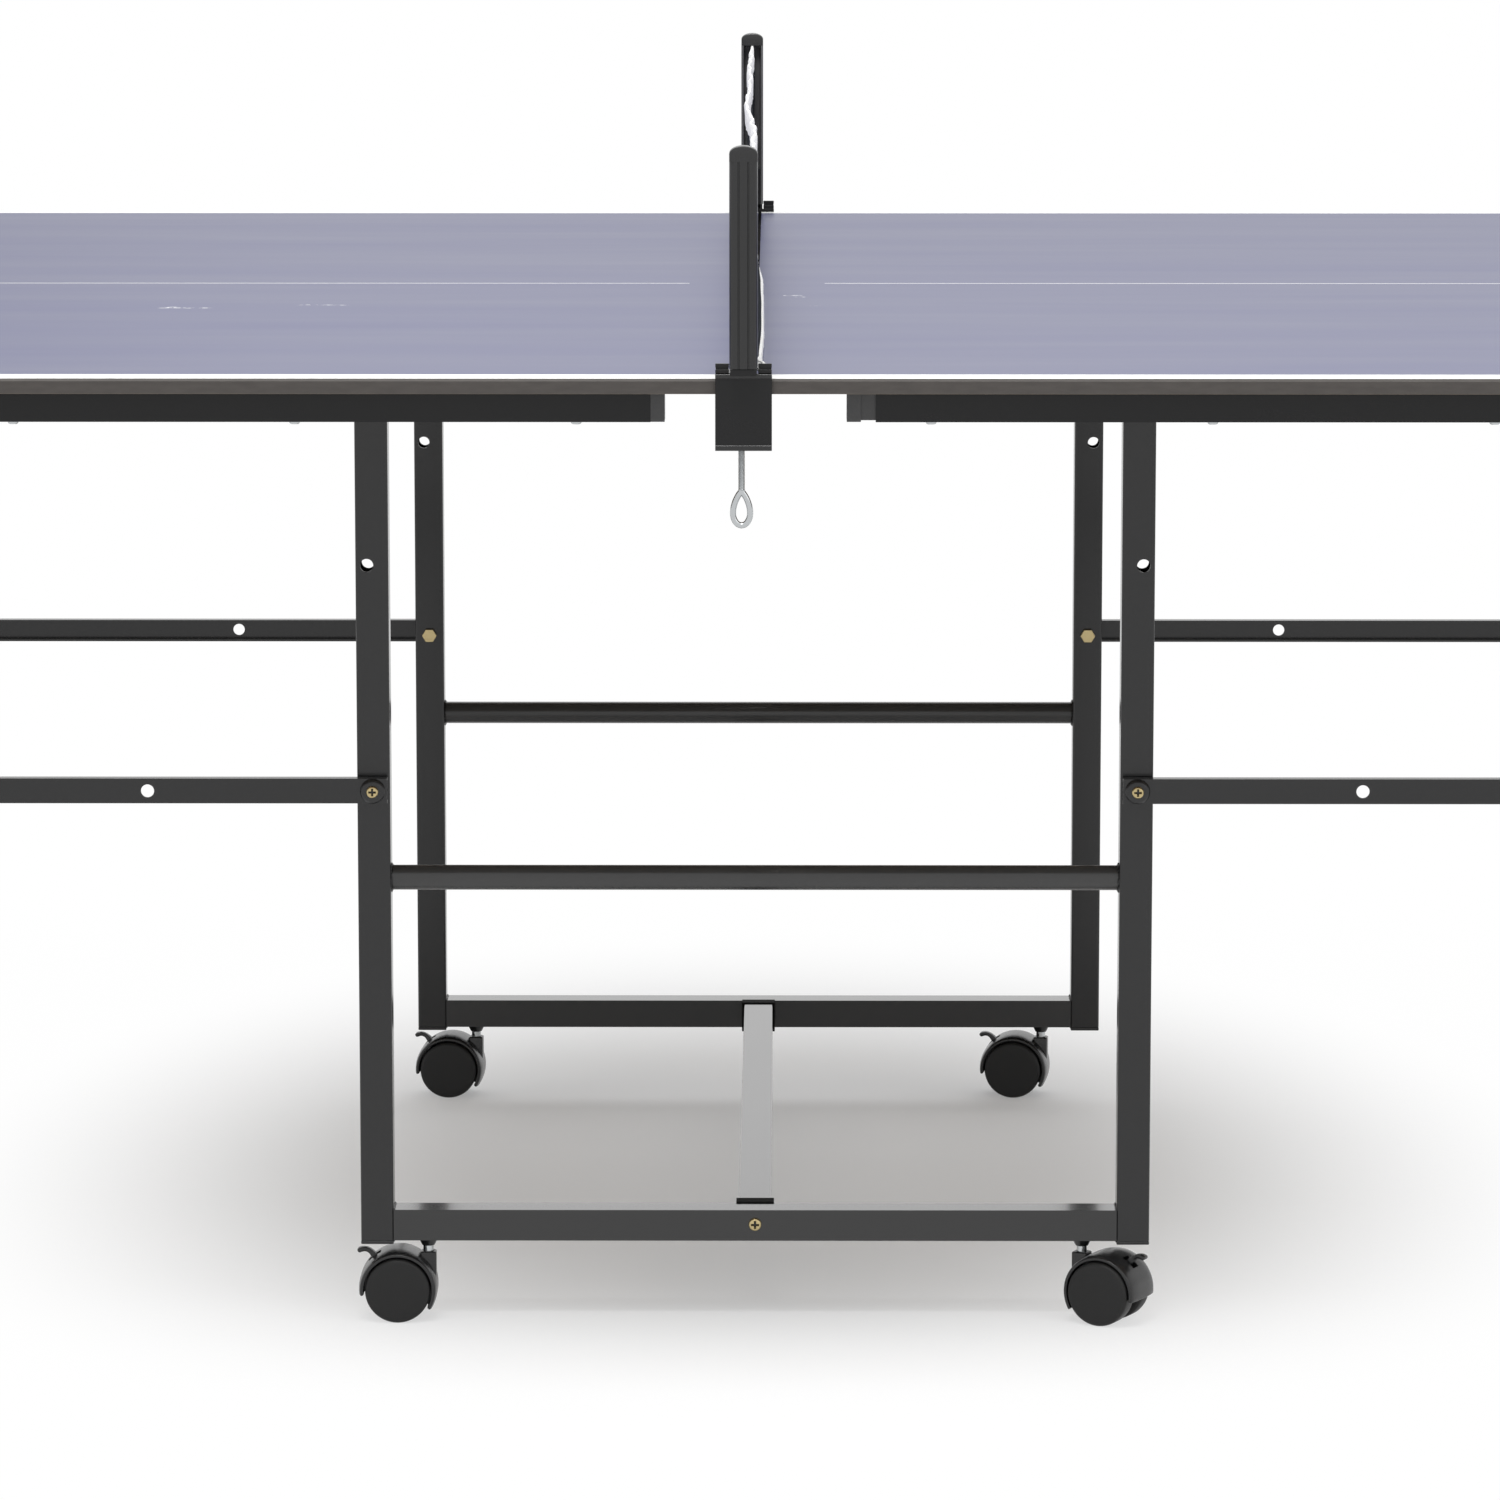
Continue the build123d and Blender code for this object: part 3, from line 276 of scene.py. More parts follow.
class Shader(ShaderTree):
    """One material and its node tree."""

    def __init__(self, name: str) -> None:
        """Starts a material with a single principled shader.

        Args:
            name: The material's name.
        """
        self.material = bpy.data.materials.new(name)
        self.material.use_nodes = True
        super().__init__(self.material.node_tree)
        self.surface = self.tree.nodes["Principled BSDF"]

    def place(self, scale: Sequence[float] = (1.0, 1.0, 1.0)) -> Value:
        """Object coordinates, stretched by a scale on each axis."""
        spot = self.node("ShaderNodeTexCoord", output="Object")
        return self.node("ShaderNodeMapping", None, {"Vector": spot, "Scale": tuple(scale)})

    def along(self) -> tuple[Value, Value, Value]:
        """Splits the object coordinates.

        Returns:
            The place along X, Y and Z.
        """
        spot = self.node("ShaderNodeTexCoord", output="Object")
        parts = self.add("ShaderNodeSeparateXYZ", None, {"Vector": spot})
        return tuple(Value(self, socket) for socket in parts)

    def noise(self, scale: float, detail: float = 3.0, stretch: Sequence[float] = (1, 1, 1)) -> Value:
        """A noise on object coordinates.

        Args:
            scale: Its frequency, per metre.
            detail: Its number of octaves.
            stretch: Its frequency on each axis.

        Returns:
            The noise, from zero to one.
        """
        inputs = {"Vector": self.place(stretch), "Scale": scale, "Detail": detail}
        return self.node("ShaderNodeTexNoise", None, inputs)

    def mix(self, share: "Value | float", first: Any, second: Any) -> Value:
        """Mixes two colours.

        Args:
            share: How much of the second shows.
            first: The first colour.
            second: The second colour.

        Returns:
            The mixed colour.
        """
        plain = [(*c, 1.0) if isinstance(c, tuple) else c for c in (first, second)]
        inputs = {0: share, 6: plain[0], 7: plain[1]}
        return self.node("ShaderNodeMix", {"data_type": "RGBA"}, inputs, output=2)

    def bump(self, height: Value, distance: float, strength: float = 1.0) -> None:
        """Roughens the surface by a height.

        Args:
            height: The height, from zero to one.
            distance: The depth of a full step.
            strength: The share of it that shows.
        """
        inputs = {"Height": height, "Distance": distance, "Strength": strength}
        self.set({"Normal": self.node("ShaderNodeBump", None, inputs)})

    def set(self, sockets: Mapping[str, Any]) -> None:
        """Feeds sockets of the principled shader."""
        for name, value in sockets.items():
            self.feed(self.surface.inputs[name], value)


@dataclass(frozen=True)
class Finish:
    """A finish of one colour, with uneven gloss and a fine relief; a metal finish also takes painted shade on
    recess floors.
    """

    name: str
    colour: Colour
    worn: Colour
    wear: float
    rough: float
    uneven: float
    relief: float
    grain: float = 1500.0
    metallic: float = 0.0
    specular: float = 0.5
    coat: float = 0.0
    coat_rough: float = 0.08
    # Colour of the painted shade on recess floors, standing in for the shadow there
    recess_shade: Colour = (0.012, 0.011, 0.009)

    def make(self) -> bpy.types.Material:
        """Builds the material.

        Returns:
            The material.
        """
        shader = Shader(self.name)
        cloud = shader.noise(9.0, 4.0)
        rub = shader.noise(70.0, 5.0, (1.0, 1.0, 0.35)).ramp(1.0 - self.wear, 1.0)
        deep = tuple(0.82 * c for c in self.colour)
        shade = shader.mix(rub, shader.mix(cloud, deep, self.colour), self.worn)
        metal: Value | float = self.metallic
        if self.metallic:
            # Painted shade: faces marked as recess floors turn dark and lose their metal, standing in for the
            # shade in the recess
            dirt_and_shade = shader.node("ShaderNodeAttribute", {"attribute_name": "recess_shade"}, output="Fac")
            shade = shader.mix(dirt_and_shade, shade, self.recess_shade)
            metal = self.metallic - dirt_and_shade * self.metallic
        shader.set(
            {
                "Base Color": shade,
                "Roughness": (cloud - 0.5) * self.uneven + rub * (0.4 * self.rough) + self.rough,
                "Metallic": metal,
                "Specular IOR Level": self.specular,
                "Coat Weight": self.coat,
                "Coat Roughness": self.coat_rough,
            }
        )
        shader.bump(shader.noise(self.grain, 2.0), self.relief)
        return shader.material


@dataclass(frozen=True)
class BoardFinish:
    """Painted fibreboard: blue face, white lines, sealed brown edge."""

    name: str = "painted_board"
    blue: Colour = (0.024, 0.029, 0.115)
    white: Colour = (0.8, 0.8, 0.79)
    fibre: Colour = (0.066, 0.058, 0.052)
    dark_fibre: Colour = (0.035, 0.03, 0.027)
    bare: Colour = (0.25, 0.195, 0.14)
    dark_bare: Colour = (0.17, 0.125, 0.085)
    under: float = 0.7481
    half_length: float = 1.370
    half_width: float = 0.7625
    gloss: float = 0.36
    paint_from: float = 0.7588
    edge_line: float = 0.020
    centre_line: float = 0.003
    centre_stop: float = 0.055
    scuffs: tuple[tuple[float, float, float, float], ...] = (
        (-0.4476, -0.2243, 0.024, 0.0035), (-0.459, -0.2205, 0.007, 0.008),
        (-0.3406, -0.1978, 0.023, 0.003), (0.0267, -0.112, 0.011, 0.004),
        (0.0346, -0.1253, 0.005, 0.003), (0.046, -0.205, 0.005, 0.003),
    )

    def lines(self, x: Value, y: Value) -> Value:
        """The mask of the painted lines.

        Args:
            x: Place along the table.
            y: Place across the table.

        Returns:
            One on a line, else zero.
        """
        side = abs(y) > self.half_width - self.edge_line
        end = abs(x) > self.half_length - self.edge_line
        centre = (abs(y) < self.centre_line / 2) * (abs(x) > self.centre_stop)
        return side.either(end).either(centre)

    def scratches(self, shader: Shader, x: Value, y: Value) -> Value:
        """The mask of a few short scuffs along the board.

        Args:
            shader: The board's shader.
            x: Place along the table.
            y: Place across the table.

        Returns:
            One in a scuff, else zero.
        """
        drift = (shader.noise(45.0, 2.0) - 0.5) * 0.006
        broken = shader.noise(260.0, 3.0).ramp(0.47, 0.6)
        mask = None
        for mid_x, mid_y, half, wide in self.scuffs:
            line = 1.0 - abs(y + drift - mid_y).ramp(0.3 * wide, wide)
            reach = 1.0 - abs(x - mid_x).ramp(0.6 * half, half)
            mask = line * reach if mask is None else mask.either(line * reach)
        return mask * broken

    def make(self) -> bpy.types.Material:
        """Builds the material.

        Returns:
            The material.
        """
        shader = Shader(self.name)
        x, y, z = shader.along()
        painted = z > self.paint_from
        streaks = shader.noise(5.0, 4.0, (0.35, 2.2, 1.0))
        fleck = shader.noise(240.0, 4.0, (0.25, 1.0, 1.0))
        pale = tuple(1.22 * c + 0.006 for c in self.blue)
        face = shader.mix(streaks.ramp(0.3, 0.75) * 0.45, self.blue, pale)
        face = shader.mix(self.lines(x, y), face, self.white)
        face = shader.mix(self.scratches(shader, x, y) * 0.85, face, self.white)
        edge = shader.mix(fleck, self.dark_fibre, self.fibre)
        edge = shader.mix(z < self.under, edge, shader.mix(fleck, self.dark_bare, self.bare))
        gloss = self.gloss + (streaks - 0.5) * 0.1
        shader.set(
            {
                "Base Color": shader.mix(painted, edge, face),
                "Roughness": painted * gloss + (1.0 - painted) * 0.62,
            }
        )
        shader.bump(fleck * (1.0 - painted) + shader.noise(420.0, 2.0) * 0.15, 0.12 * MM, 0.5)
        return shader.material


@dataclass(frozen=True)
class TapeFinish:
    """White woven tape with dirt in its weave."""

    name: str = "woven_tape"
    clean: Colour = (0.9, 0.9, 0.89)
    soiled: Colour = (0.6, 0.59, 0.56)
    ribs: float = 900.0

    def make(self) -> bpy.types.Material:
        """Builds the material.

        Returns:
            The material.
        """
        shader = Shader(self.name)
        dirt_and_shade = shader.noise(24.0, 4.0).ramp(0.52, 0.85)
        inputs = {"Vector": shader.place(), "Scale": self.ribs / math.tau, "Distortion": 0.3}
        weave = shader.node("ShaderNodeTexWave", {"bands_direction": "DIAGONAL"}, inputs, output="Fac")
        shader.set(
            {
                "Base Color": shader.mix(dirt_and_shade * 0.6 + weave * 0.12, self.clean, self.soiled),
                "Roughness": 0.82 + weave * 0.1,
                "Sheen Weight": 0.25,
            }
        )
        shader.bump(weave, 0.15 * MM, 0.6)
        return shader.material


class Kit(Enum):
    """Finishes that the table's pieces share."""

    BLACK_STEEL = Finish(
        "gloss_black_paint", (0.0125, 0.0125, 0.013), (0.03, 0.03, 0.031),
        wear=0.26, rough=0.18, uneven=0.05, relief=0.006 * MM,
    )
    SATIN_STEEL = Finish(
        "satin_black_paint", (0.008, 0.008, 0.0085), (0.022, 0.022, 0.023),
        wear=0.28, rough=0.28, uneven=0.08, relief=0.008 * MM, specular=0.29,
    )
    RAIL_STEEL = Finish(
        "rail_gloss_paint", (0.005, 0.005, 0.0052), (0.02, 0.02, 0.021),
        wear=0.26, rough=0.16, uneven=0.05, relief=0.005 * MM, coat=0.5,
    )
    RUNG_STEEL = Finish(
        "rung_grey_paint", (0.042, 0.042, 0.042), (0.07, 0.07, 0.07),
        wear=0.26, rough=0.22, uneven=0.06, relief=0.006 * MM,
    )
    MATT_STEEL = Finish(
        "matt_black_paint", (0.009, 0.009, 0.009), (0.024, 0.024, 0.024),
        wear=0.26, rough=0.8, uneven=0.1, relief=0.03 * MM, specular=0.1,
    )
    # A lighter grey copy of the black paint: painted light on the inner faces of the net posts' channels
    CHANNEL_PAINTED_LIGHT = Finish(
        "channel_painted_light", (0.11, 0.11, 0.112), (0.15, 0.15, 0.15),
        wear=0.3, rough=0.5, uneven=0.1, relief=0.02 * MM,
    )
    BLACK_PLASTIC = Finish(
        "moulded_black", (0.013, 0.013, 0.0135), (0.04, 0.04, 0.041),
        wear=0.22, rough=0.26, uneven=0.12, relief=0.03 * MM, grain=2600.0,
    )
    WHEEL_PLASTIC = Finish(
        "wheel_black", (0.0155, 0.0155, 0.0155), (0.05, 0.048, 0.046),
        wear=0.3, rough=0.45, uneven=0.16, relief=0.05 * MM, grain=2600.0, specular=0.3,
    )
    CAP_PLASTIC = Finish(
        "grey_cap_plastic", (0.04, 0.04, 0.041), (0.1, 0.1, 0.1),
        wear=0.25, rough=0.36, uneven=0.16, relief=0.05 * MM, grain=2600.0,
    )
    YELLOW_ZINC = Finish(
        "yellow_passivated", (0.58, 0.47, 0.25), (0.27, 0.21, 0.12),
        wear=0.35, rough=0.28, uneven=0.2, relief=0.02 * MM, grain=2200.0, metallic=1.0,
    )
    BRIGHT_ZINC = Finish(
        "bright_plate", (0.58, 0.6, 0.61), (0.2, 0.21, 0.22),
        wear=0.42, rough=0.2, uneven=0.16, relief=0.02 * MM, grain=2200.0, metallic=1.0,
    )
    RUBBER = Finish(
        "foot_rubber", (0.02, 0.02, 0.02), (0.06, 0.058, 0.055),
        wear=0.32, rough=0.72, uneven=0.2, relief=0.12 * MM, grain=1800.0,
    )
    NET_CORD = Finish(
        "knotted_cord", (0.012, 0.016, 0.022), (0.05, 0.055, 0.06),
        wear=0.3, rough=0.75, uneven=0.2, relief=0.1 * MM, grain=3000.0,
    )
    BOARD = BoardFinish()
    TAPE = TapeFinish()

    @property
    def material(self) -> bpy.types.Material:
        """The finish's material, made when it is first wanted."""
        return bpy.data.materials.get(self.value.name) or self.value.make()


# Meshes


def piece_from(name: str, mesh: bpy.types.Mesh) -> bpy.types.Object:
    """Links a mesh to the scene as an object at the origin.

    Args:
        name: The object's name.
        mesh: Its mesh.

    Returns:
        The object.
    """
    made = bpy.data.objects.new(name, mesh)
    bpy.context.scene.collection.objects.link(made)
    return made


def mesh_from(name: str, build: Callable[[bmesh.types.BMesh], None], smooth: float = 40.0) -> bpy.types.Mesh:
    """Builds a mesh with bmesh.

    Args:
        name: The mesh's name.
        build: Fills an empty bmesh.
        smooth: The angle in degrees under which edges are shaded smooth.

    Returns:
        The mesh, with its faces outwards.
    """
    work = bmesh.new()
    build(work)
    bmesh.ops.remove_doubles(work, verts=work.verts, dist=1e-6)
    bmesh.ops.recalc_face_normals(work, faces=work.faces)
    mesh = bpy.data.meshes.new(name)
    work.to_mesh(mesh)
    work.free()
    mesh.shade_smooth()
    mesh.set_sharp_from_angle(angle=math.radians(smooth))
    return mesh


def shaped(name: str, build: Callable[[bmesh.types.BMesh], None], smooth: float = 40.0) -> bpy.types.Object:
    """Makes an object of a built mesh that bears the same name."""
    return piece_from(name, mesh_from(name, build, smooth))


def settled(piece: bpy.types.Object) -> bpy.types.Object:
    """Turns a piece's modifiers into its plain mesh.

    Args:
        piece: An object with modifiers.

    Returns:
        The same object, with none.
    """
    bpy.context.view_layer.update()
    graph = bpy.context.evaluated_depsgraph_get()
    mesh = bpy.data.meshes.new_from_object(piece.evaluated_get(graph), depsgraph=graph)
    piece.modifiers.clear()
    piece.data = mesh
    return piece


def circle(count: int, shift: float = 0.0) -> list[float]:
    """Angles in even steps round a full turn."""
    return [math.tau * (k + shift) / count for k in range(count)]


def spread(start: float, end: float, count: int) -> list[float]:
    """Values in even steps from a start to an end."""
    return [start + (end - start) * k / count for k in range(count + 1)]


def polar(radius: float, angle: float, height: float = 0.0) -> Vector:
    """The point at a distance, an angle and a height on the Z axis."""
    return Vector((radius * math.cos(angle), radius * math.sin(angle), height))


def mirrored(points: Sequence[tuple[float, float]]) -> Outline:
    """The other half of an outline that is alike on both sides."""
    return [(-u, v) for u, v in reversed(points)]


def on_row(sy: int, start: float, end: float) -> Span:
    """A stretch across the near or far side of the table, with its lower end first."""
    return min(sy * start, sy * end), max(sy * start, sy * end)


def band(work: bmesh.types.BMesh, one: Sequence[Any], two: Sequence[Any]) -> None:
    """Joins two loops of as many points by a band of faces.

    Args:
        work: Takes the faces.
        one: The first loop.
        two: The second loop.
    """
    for k in range(len(one)):
        after = (k + 1) % len(one)
        work.faces.new((one[k], one[after], two[after], two[k]))


def lathe(work: bmesh.types.BMesh, profile: Sequence[Span], frame: Matrix, steps: int) -> None:
    """Turns a profile into a closed solid of revolution.

    Args:
        work: Takes the faces.
        profile: Radius and height of each point, from one pole to the other.
        frame: Its Z axis is the axis of the turn.
        steps: Number of steps round.
    """
    rings = []
    for radius, height in profile:
        turn = circle(steps) if radius > 0.0 else [0.0]
        rings.append([work.verts.new(frame @ polar(radius, a, height)) for a in turn])
    for low, high in zip(rings, rings[1:]):
        for k in range(steps):
            after = (k + 1) % steps
            corners = [low[k % len(low)], low[after % len(low)], high[after % len(high)], high[k % len(high)]]
            work.faces.new(list(dict.fromkeys(corners)))


def tube(
    work: bmesh.types.BMesh,
    path: Sequence[Vector],
    section: Callable[[int], Sequence[Vector]],
    closed: bool = False,
) -> None:
    """Joins sections along a path into a closed skin.

    Args:
        work: Takes the faces.
        path: The points that the sections stand on.
        section: Gives the offsets of the section at a point of the path.
        closed: Whether the path's end joins its start.
    """
    rings = [[work.verts.new(spot + step) for step in section(k)] for k, spot in enumerate(path)]
    for one, two in zip(rings, rings[1:] + rings[:1] if closed else rings[1:]):
        band(work, one, two)
    if not closed:
        work.faces.new(rings[0])
        work.faces.new(list(reversed(rings[-1])))


def blocks(work: bmesh.types.BMesh, rows: Iterable[tuple[Span, Span, Span]]) -> None:
    """Adds upright blocks.

    Args:
        work: Takes the faces.
        rows: Where each block starts and ends along X, Y and Z.
    """
    for spans in rows:
        middle = [sum(span) / 2 for span in spans]
        size = [span[1] - span[0] for span in spans]
        place = Matrix.Translation(middle) @ Matrix.Diagonal((*size, 1.0))
        bmesh.ops.create_cube(work, size=1.0, matrix=place)


def axis_frame(spot: Sequence[float], facing: Vector) -> Matrix:
    """A frame at a place, with its Z axis along a direction."""
    return Matrix.Translation(Vector(spot)) @ facing.to_track_quat("Z", "Y").to_matrix().to_4x4()


# Geometry nodes


class Graph(NodeTree):
    """One geometry node tree with named inputs."""

    def __init__(self, name: str, inputs: Mapping[str, str]) -> None:
        """Starts a tree that takes a geometry and gives one.

        Args:
            name: The tree's name.
            inputs: Socket type of each further input.
        """
        super().__init__(bpy.data.node_groups.new(name, "GeometryNodeTree"))
        sockets = self.tree.interface
        sockets.new_socket("Geometry", in_out="INPUT", socket_type="NodeSocketGeometry")
        for key, kind in inputs.items():
            sockets.new_socket(key, in_out="INPUT", socket_type=kind)
        sockets.new_socket("Geometry", in_out="OUTPUT", socket_type="NodeSocketGeometry")
        self.given = self.tree.nodes.new("NodeGroupInput").outputs

    def end(self, geometry: bpy.types.NodeSocket) -> None:
        """Realizes a geometry, gives it the finish and ends the tree with it.

        Args:
            geometry: The output that holds the geometry.
        """
        solid = self.add("GeometryNodeRealizeInstances", None, {"Geometry": geometry})
        inputs = {"Geometry": solid[0], "Material": self.given["Finish"]}
        dressed = self.add("GeometryNodeSetMaterial", None, inputs)
        self.add("NodeGroupOutput", None, {0: dressed[0]})

    def apply(self, piece: bpy.types.Object, values: Mapping[str, Any]) -> bpy.types.Object:
        """Runs the tree on a piece.

        Args:
            piece: The object that gives the tree its geometry.
            values: Value of each named input.

        Returns:
            The piece with the result as its plain mesh.
        """
        run = piece.modifiers.new(self.tree.name, "NODES")
        run.node_group = self.tree
        for item in self.tree.interface.items_tree:
            if item.in_out == "INPUT" and item.name in values:
                run[item.identifier] = values[item.name]
        return settled(piece)


def scatter_graph() -> Graph:
    """The tree that puts one shape at every place, turned to face its way.

    Returns:
        The tree, with inputs Shape and Finish.
    """
    graph = Graph("set_in_places", {"Shape": "NodeSocketObject", "Finish": "NodeSocketMaterial"})
    shape = graph.add("GeometryNodeObjectInfo", None, {"Object": graph.given["Shape"]})
    named = "GeometryNodeInputNamedAttribute"
    facing = graph.add(named, {"data_type": "FLOAT_VECTOR"}, {"Name": "facing"})
    size = graph.add(named, {"data_type": "FLOAT"}, {"Name": "size"})
    turn = graph.add("FunctionNodeAlignRotationToVector", {"axis": "Z"}, {"Vector": facing[0]})
    inputs = {"Points": graph.given["Geometry"], "Instance": shape["Geometry"]}
    inputs |= {"Rotation": turn[0], "Scale": size[0]}
    graph.end(graph.add("GeometryNodeInstanceOnPoints", None, inputs)[0])
    return graph


def strand_graph() -> Graph:
    """The tree that turns a grid's edges into strands with a knot at each crossing.

    Returns:
        The tree, with inputs Strand, Knot and Finish.
    """
    given = {"Strand": "NodeSocketFloat", "Knot": "NodeSocketFloat", "Finish": "NodeSocketMaterial"}
    graph = Graph("knotted_net", given)
    grid = graph.given["Geometry"]
    lines = graph.add("GeometryNodeMeshToCurve", None, {"Mesh": grid})
    inputs = {"Resolution": 4, "Radius": graph.given["Strand"]}
    ring = graph.add("GeometryNodeCurvePrimitiveCircle", None, inputs)
    inputs = {"Curve": lines[0], "Profile Curve": ring[0], "Fill Caps": True}
    strands = graph.add("GeometryNodeCurveToMesh", None, inputs)
    inputs = {"Radius": graph.given["Knot"], "Subdivisions": 1}
    ball = graph.add("GeometryNodeMeshIcoSphere", None, inputs)
    knots = graph.add("GeometryNodeInstanceOnPoints", None, {"Points": grid, "Instance": ball[0]})
    joined = graph.add("GeometryNodeJoinGeometry")[0]
    for part in (knots[0], strands[0]):
        graph.feed(joined.node.inputs[0], part)
    graph.end(joined)
    return graph


@dataclass
class Places:
    """Places where one shape is set."""

    spots: list[tuple[Vector, Vector, float]] = field(default_factory=list)

    def add(self, spot: Sequence[float], facing: Axis | Vector, size: float = 1.0) -> None:
        """Adds a place, the way that the shape faces there and its size."""
        way = facing.vector if isinstance(facing, Axis) else facing
        self.spots.append((Vector(spot), way, size))

    def piece(self, name: str) -> bpy.types.Object:
        """Makes an object with a point at every place.

        Args:
            name: The object's name.

        Returns:
            The object, with its points' facing and size as attributes.
        """
        mesh = bpy.data.meshes.new(name)
        mesh.from_pydata([spot for spot, _, _ in self.spots], [], [])
        facing = mesh.attributes.new("facing", "FLOAT_VECTOR", "POINT")
        facing.data.foreach_set("vector", [v for _, way, _ in self.spots for v in way])
        size = mesh.attributes.new("size", "FLOAT", "POINT")
        size.data.foreach_set("value", [amount for _, _, amount in self.spots])
        return piece_from(name, mesh)


class Dresser:
    """Puts finished pieces on the CAD model's bodies."""

    def __init__(self, frame: Mapping[str, Any]) -> None:
        """Keeps the frame's nodes and the body of each.
        """
        self.nodes: dict[str, bpy.types.Object] = frame["nodes"]
        bodies = frame["record"]["behaviour"]["bodies"]
        self.body = {node: body for body, members in bodies.items() for node in members}
        slots = {row["node"]: row["material_slot"] for row in frame["record"]["subparts"]}
        self.slot_of: dict[str, str] = slots
        self.scatter = scatter_graph()

    def paint(self, node: str, finish: Kit) -> None:
        """Gives a CAD node a finish.

        Args:
            node: The node.
            finish: Its finish.
        """
        mesh = self.nodes[node].data
        mesh.materials.clear()
        mesh.materials.append(finish.material)
        LOG.info("painted %s", node)

    def put(self, piece: bpy.types.Object, body: str, slot: str, *replaced: str) -> bpy.types.Object:
        """Sets a finished piece on a body.

        Args:
            piece: The piece, at the origin.
            body: The body that it moves with.
            slot: The record's material slot; not used.
            replaced: CAD nodes that it stands for.

        Returns:
            The piece.
        """
        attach(piece, body)
        if replaced:
            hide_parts(*replaced)
        LOG.info("placed %s on %s", piece.name, body)
        return piece

    def lay(
        self, piece: bpy.types.Object, finish: Kit, body: str, slot: str, *replaced: str
    ) -> bpy.types.Object:
        """Gives a piece a finish and sets it on a body.

        Args:
            piece: The piece, at the origin.
            finish: Its finish.
            body: The body that it moves with.
            slot: The record's material slot.
            replaced: CAD nodes that it stands for.

        Returns:
            The piece.
        """
        piece.data.materials.clear()
        piece.data.materials.append(finish.material)
        return self.put(piece, body, slot, *replaced)

    def stand_in(self, piece: bpy.types.Object, node: str, finish: Kit) -> bpy.types.Object:
        """Sets a piece in the place of one CAD node, with a finish."""
        return self.lay(piece, finish, self.body[node], self.slot_of[node], node)

    def soften(self, node: str, finish: Kit, width: float, segments: int = 2) -> bpy.types.Object:
        """Sets a copy of a CAD node with rounded edges in its place.

        Args:
            node: The node.
            finish: Its finish.
            width: The width of the rounding.
            segments: Number of faces across the rounding.

        Returns:
            The copy.
        """
        work = bmesh.new()
        work.from_mesh(self.nodes[node].data)
        bmesh.ops.remove_doubles(work, verts=work.verts, dist=2e-6)
        bmesh.ops.dissolve_limit(work, angle_limit=math.radians(0.5), verts=work.verts, edges=work.edges)
        mesh = bpy.data.meshes.new(f"{node}_rounded")
        work.to_mesh(mesh)
        work.free()
        mesh.shade_smooth()
        piece = piece_from(f"{node}_rounded", mesh)
        return self.stand_in(self.rounded(piece, width, segments, "ANGLE"), node, finish)

    @staticmethod
    def rounded(piece: bpy.types.Object, width: float, segments: int, limit: str) -> bpy.types.Object:
        """Rounds a piece's edges and keeps its flat faces flat.

        Args:
            piece: The piece.
            width: The width of the rounding.
            segments: Number of faces across the rounding.
            limit: Which edges are rounded, by ANGLE or by WEIGHT.

        Returns:
            The same piece.
        """
        bevel = piece.modifiers.new("rounding", "BEVEL")
        bevel.width = width
        bevel.segments = segments
        bevel.limit_method = limit
        bevel.angle_limit = math.radians(40)
        weigh = piece.modifiers.new("flat_faces", "WEIGHTED_NORMAL")
        weigh.keep_sharp = True
        weigh.weight = 100
        return settled(piece)

    def set_shapes(
        self, shape: bpy.types.Mesh, places: Places, finish: Kit, name: str, body: str, *replaced: str
    ) -> None:
        """Sets one shape at many places of a body, as a single piece.

        Args:
            shape: The shape, facing up at the origin.
            places: Where it goes.
            finish: Its finish, which bears the name of the record's material slot.
            name: The piece's name.
            body: The body that it moves with.
            replaced: CAD nodes that it stands for.
        """
        pattern = piece_from(f"{name}_shape", shape)
        piece = places.piece(name)
        self.scatter.apply(piece, {"Shape": pattern, "Finish": finish.material})
        bpy.data.objects.remove(pattern)
        piece.data.set_sharp_from_angle(angle=math.radians(40))
        self.put(piece, body, finish.name.lower(), *replaced)


# Fasteners


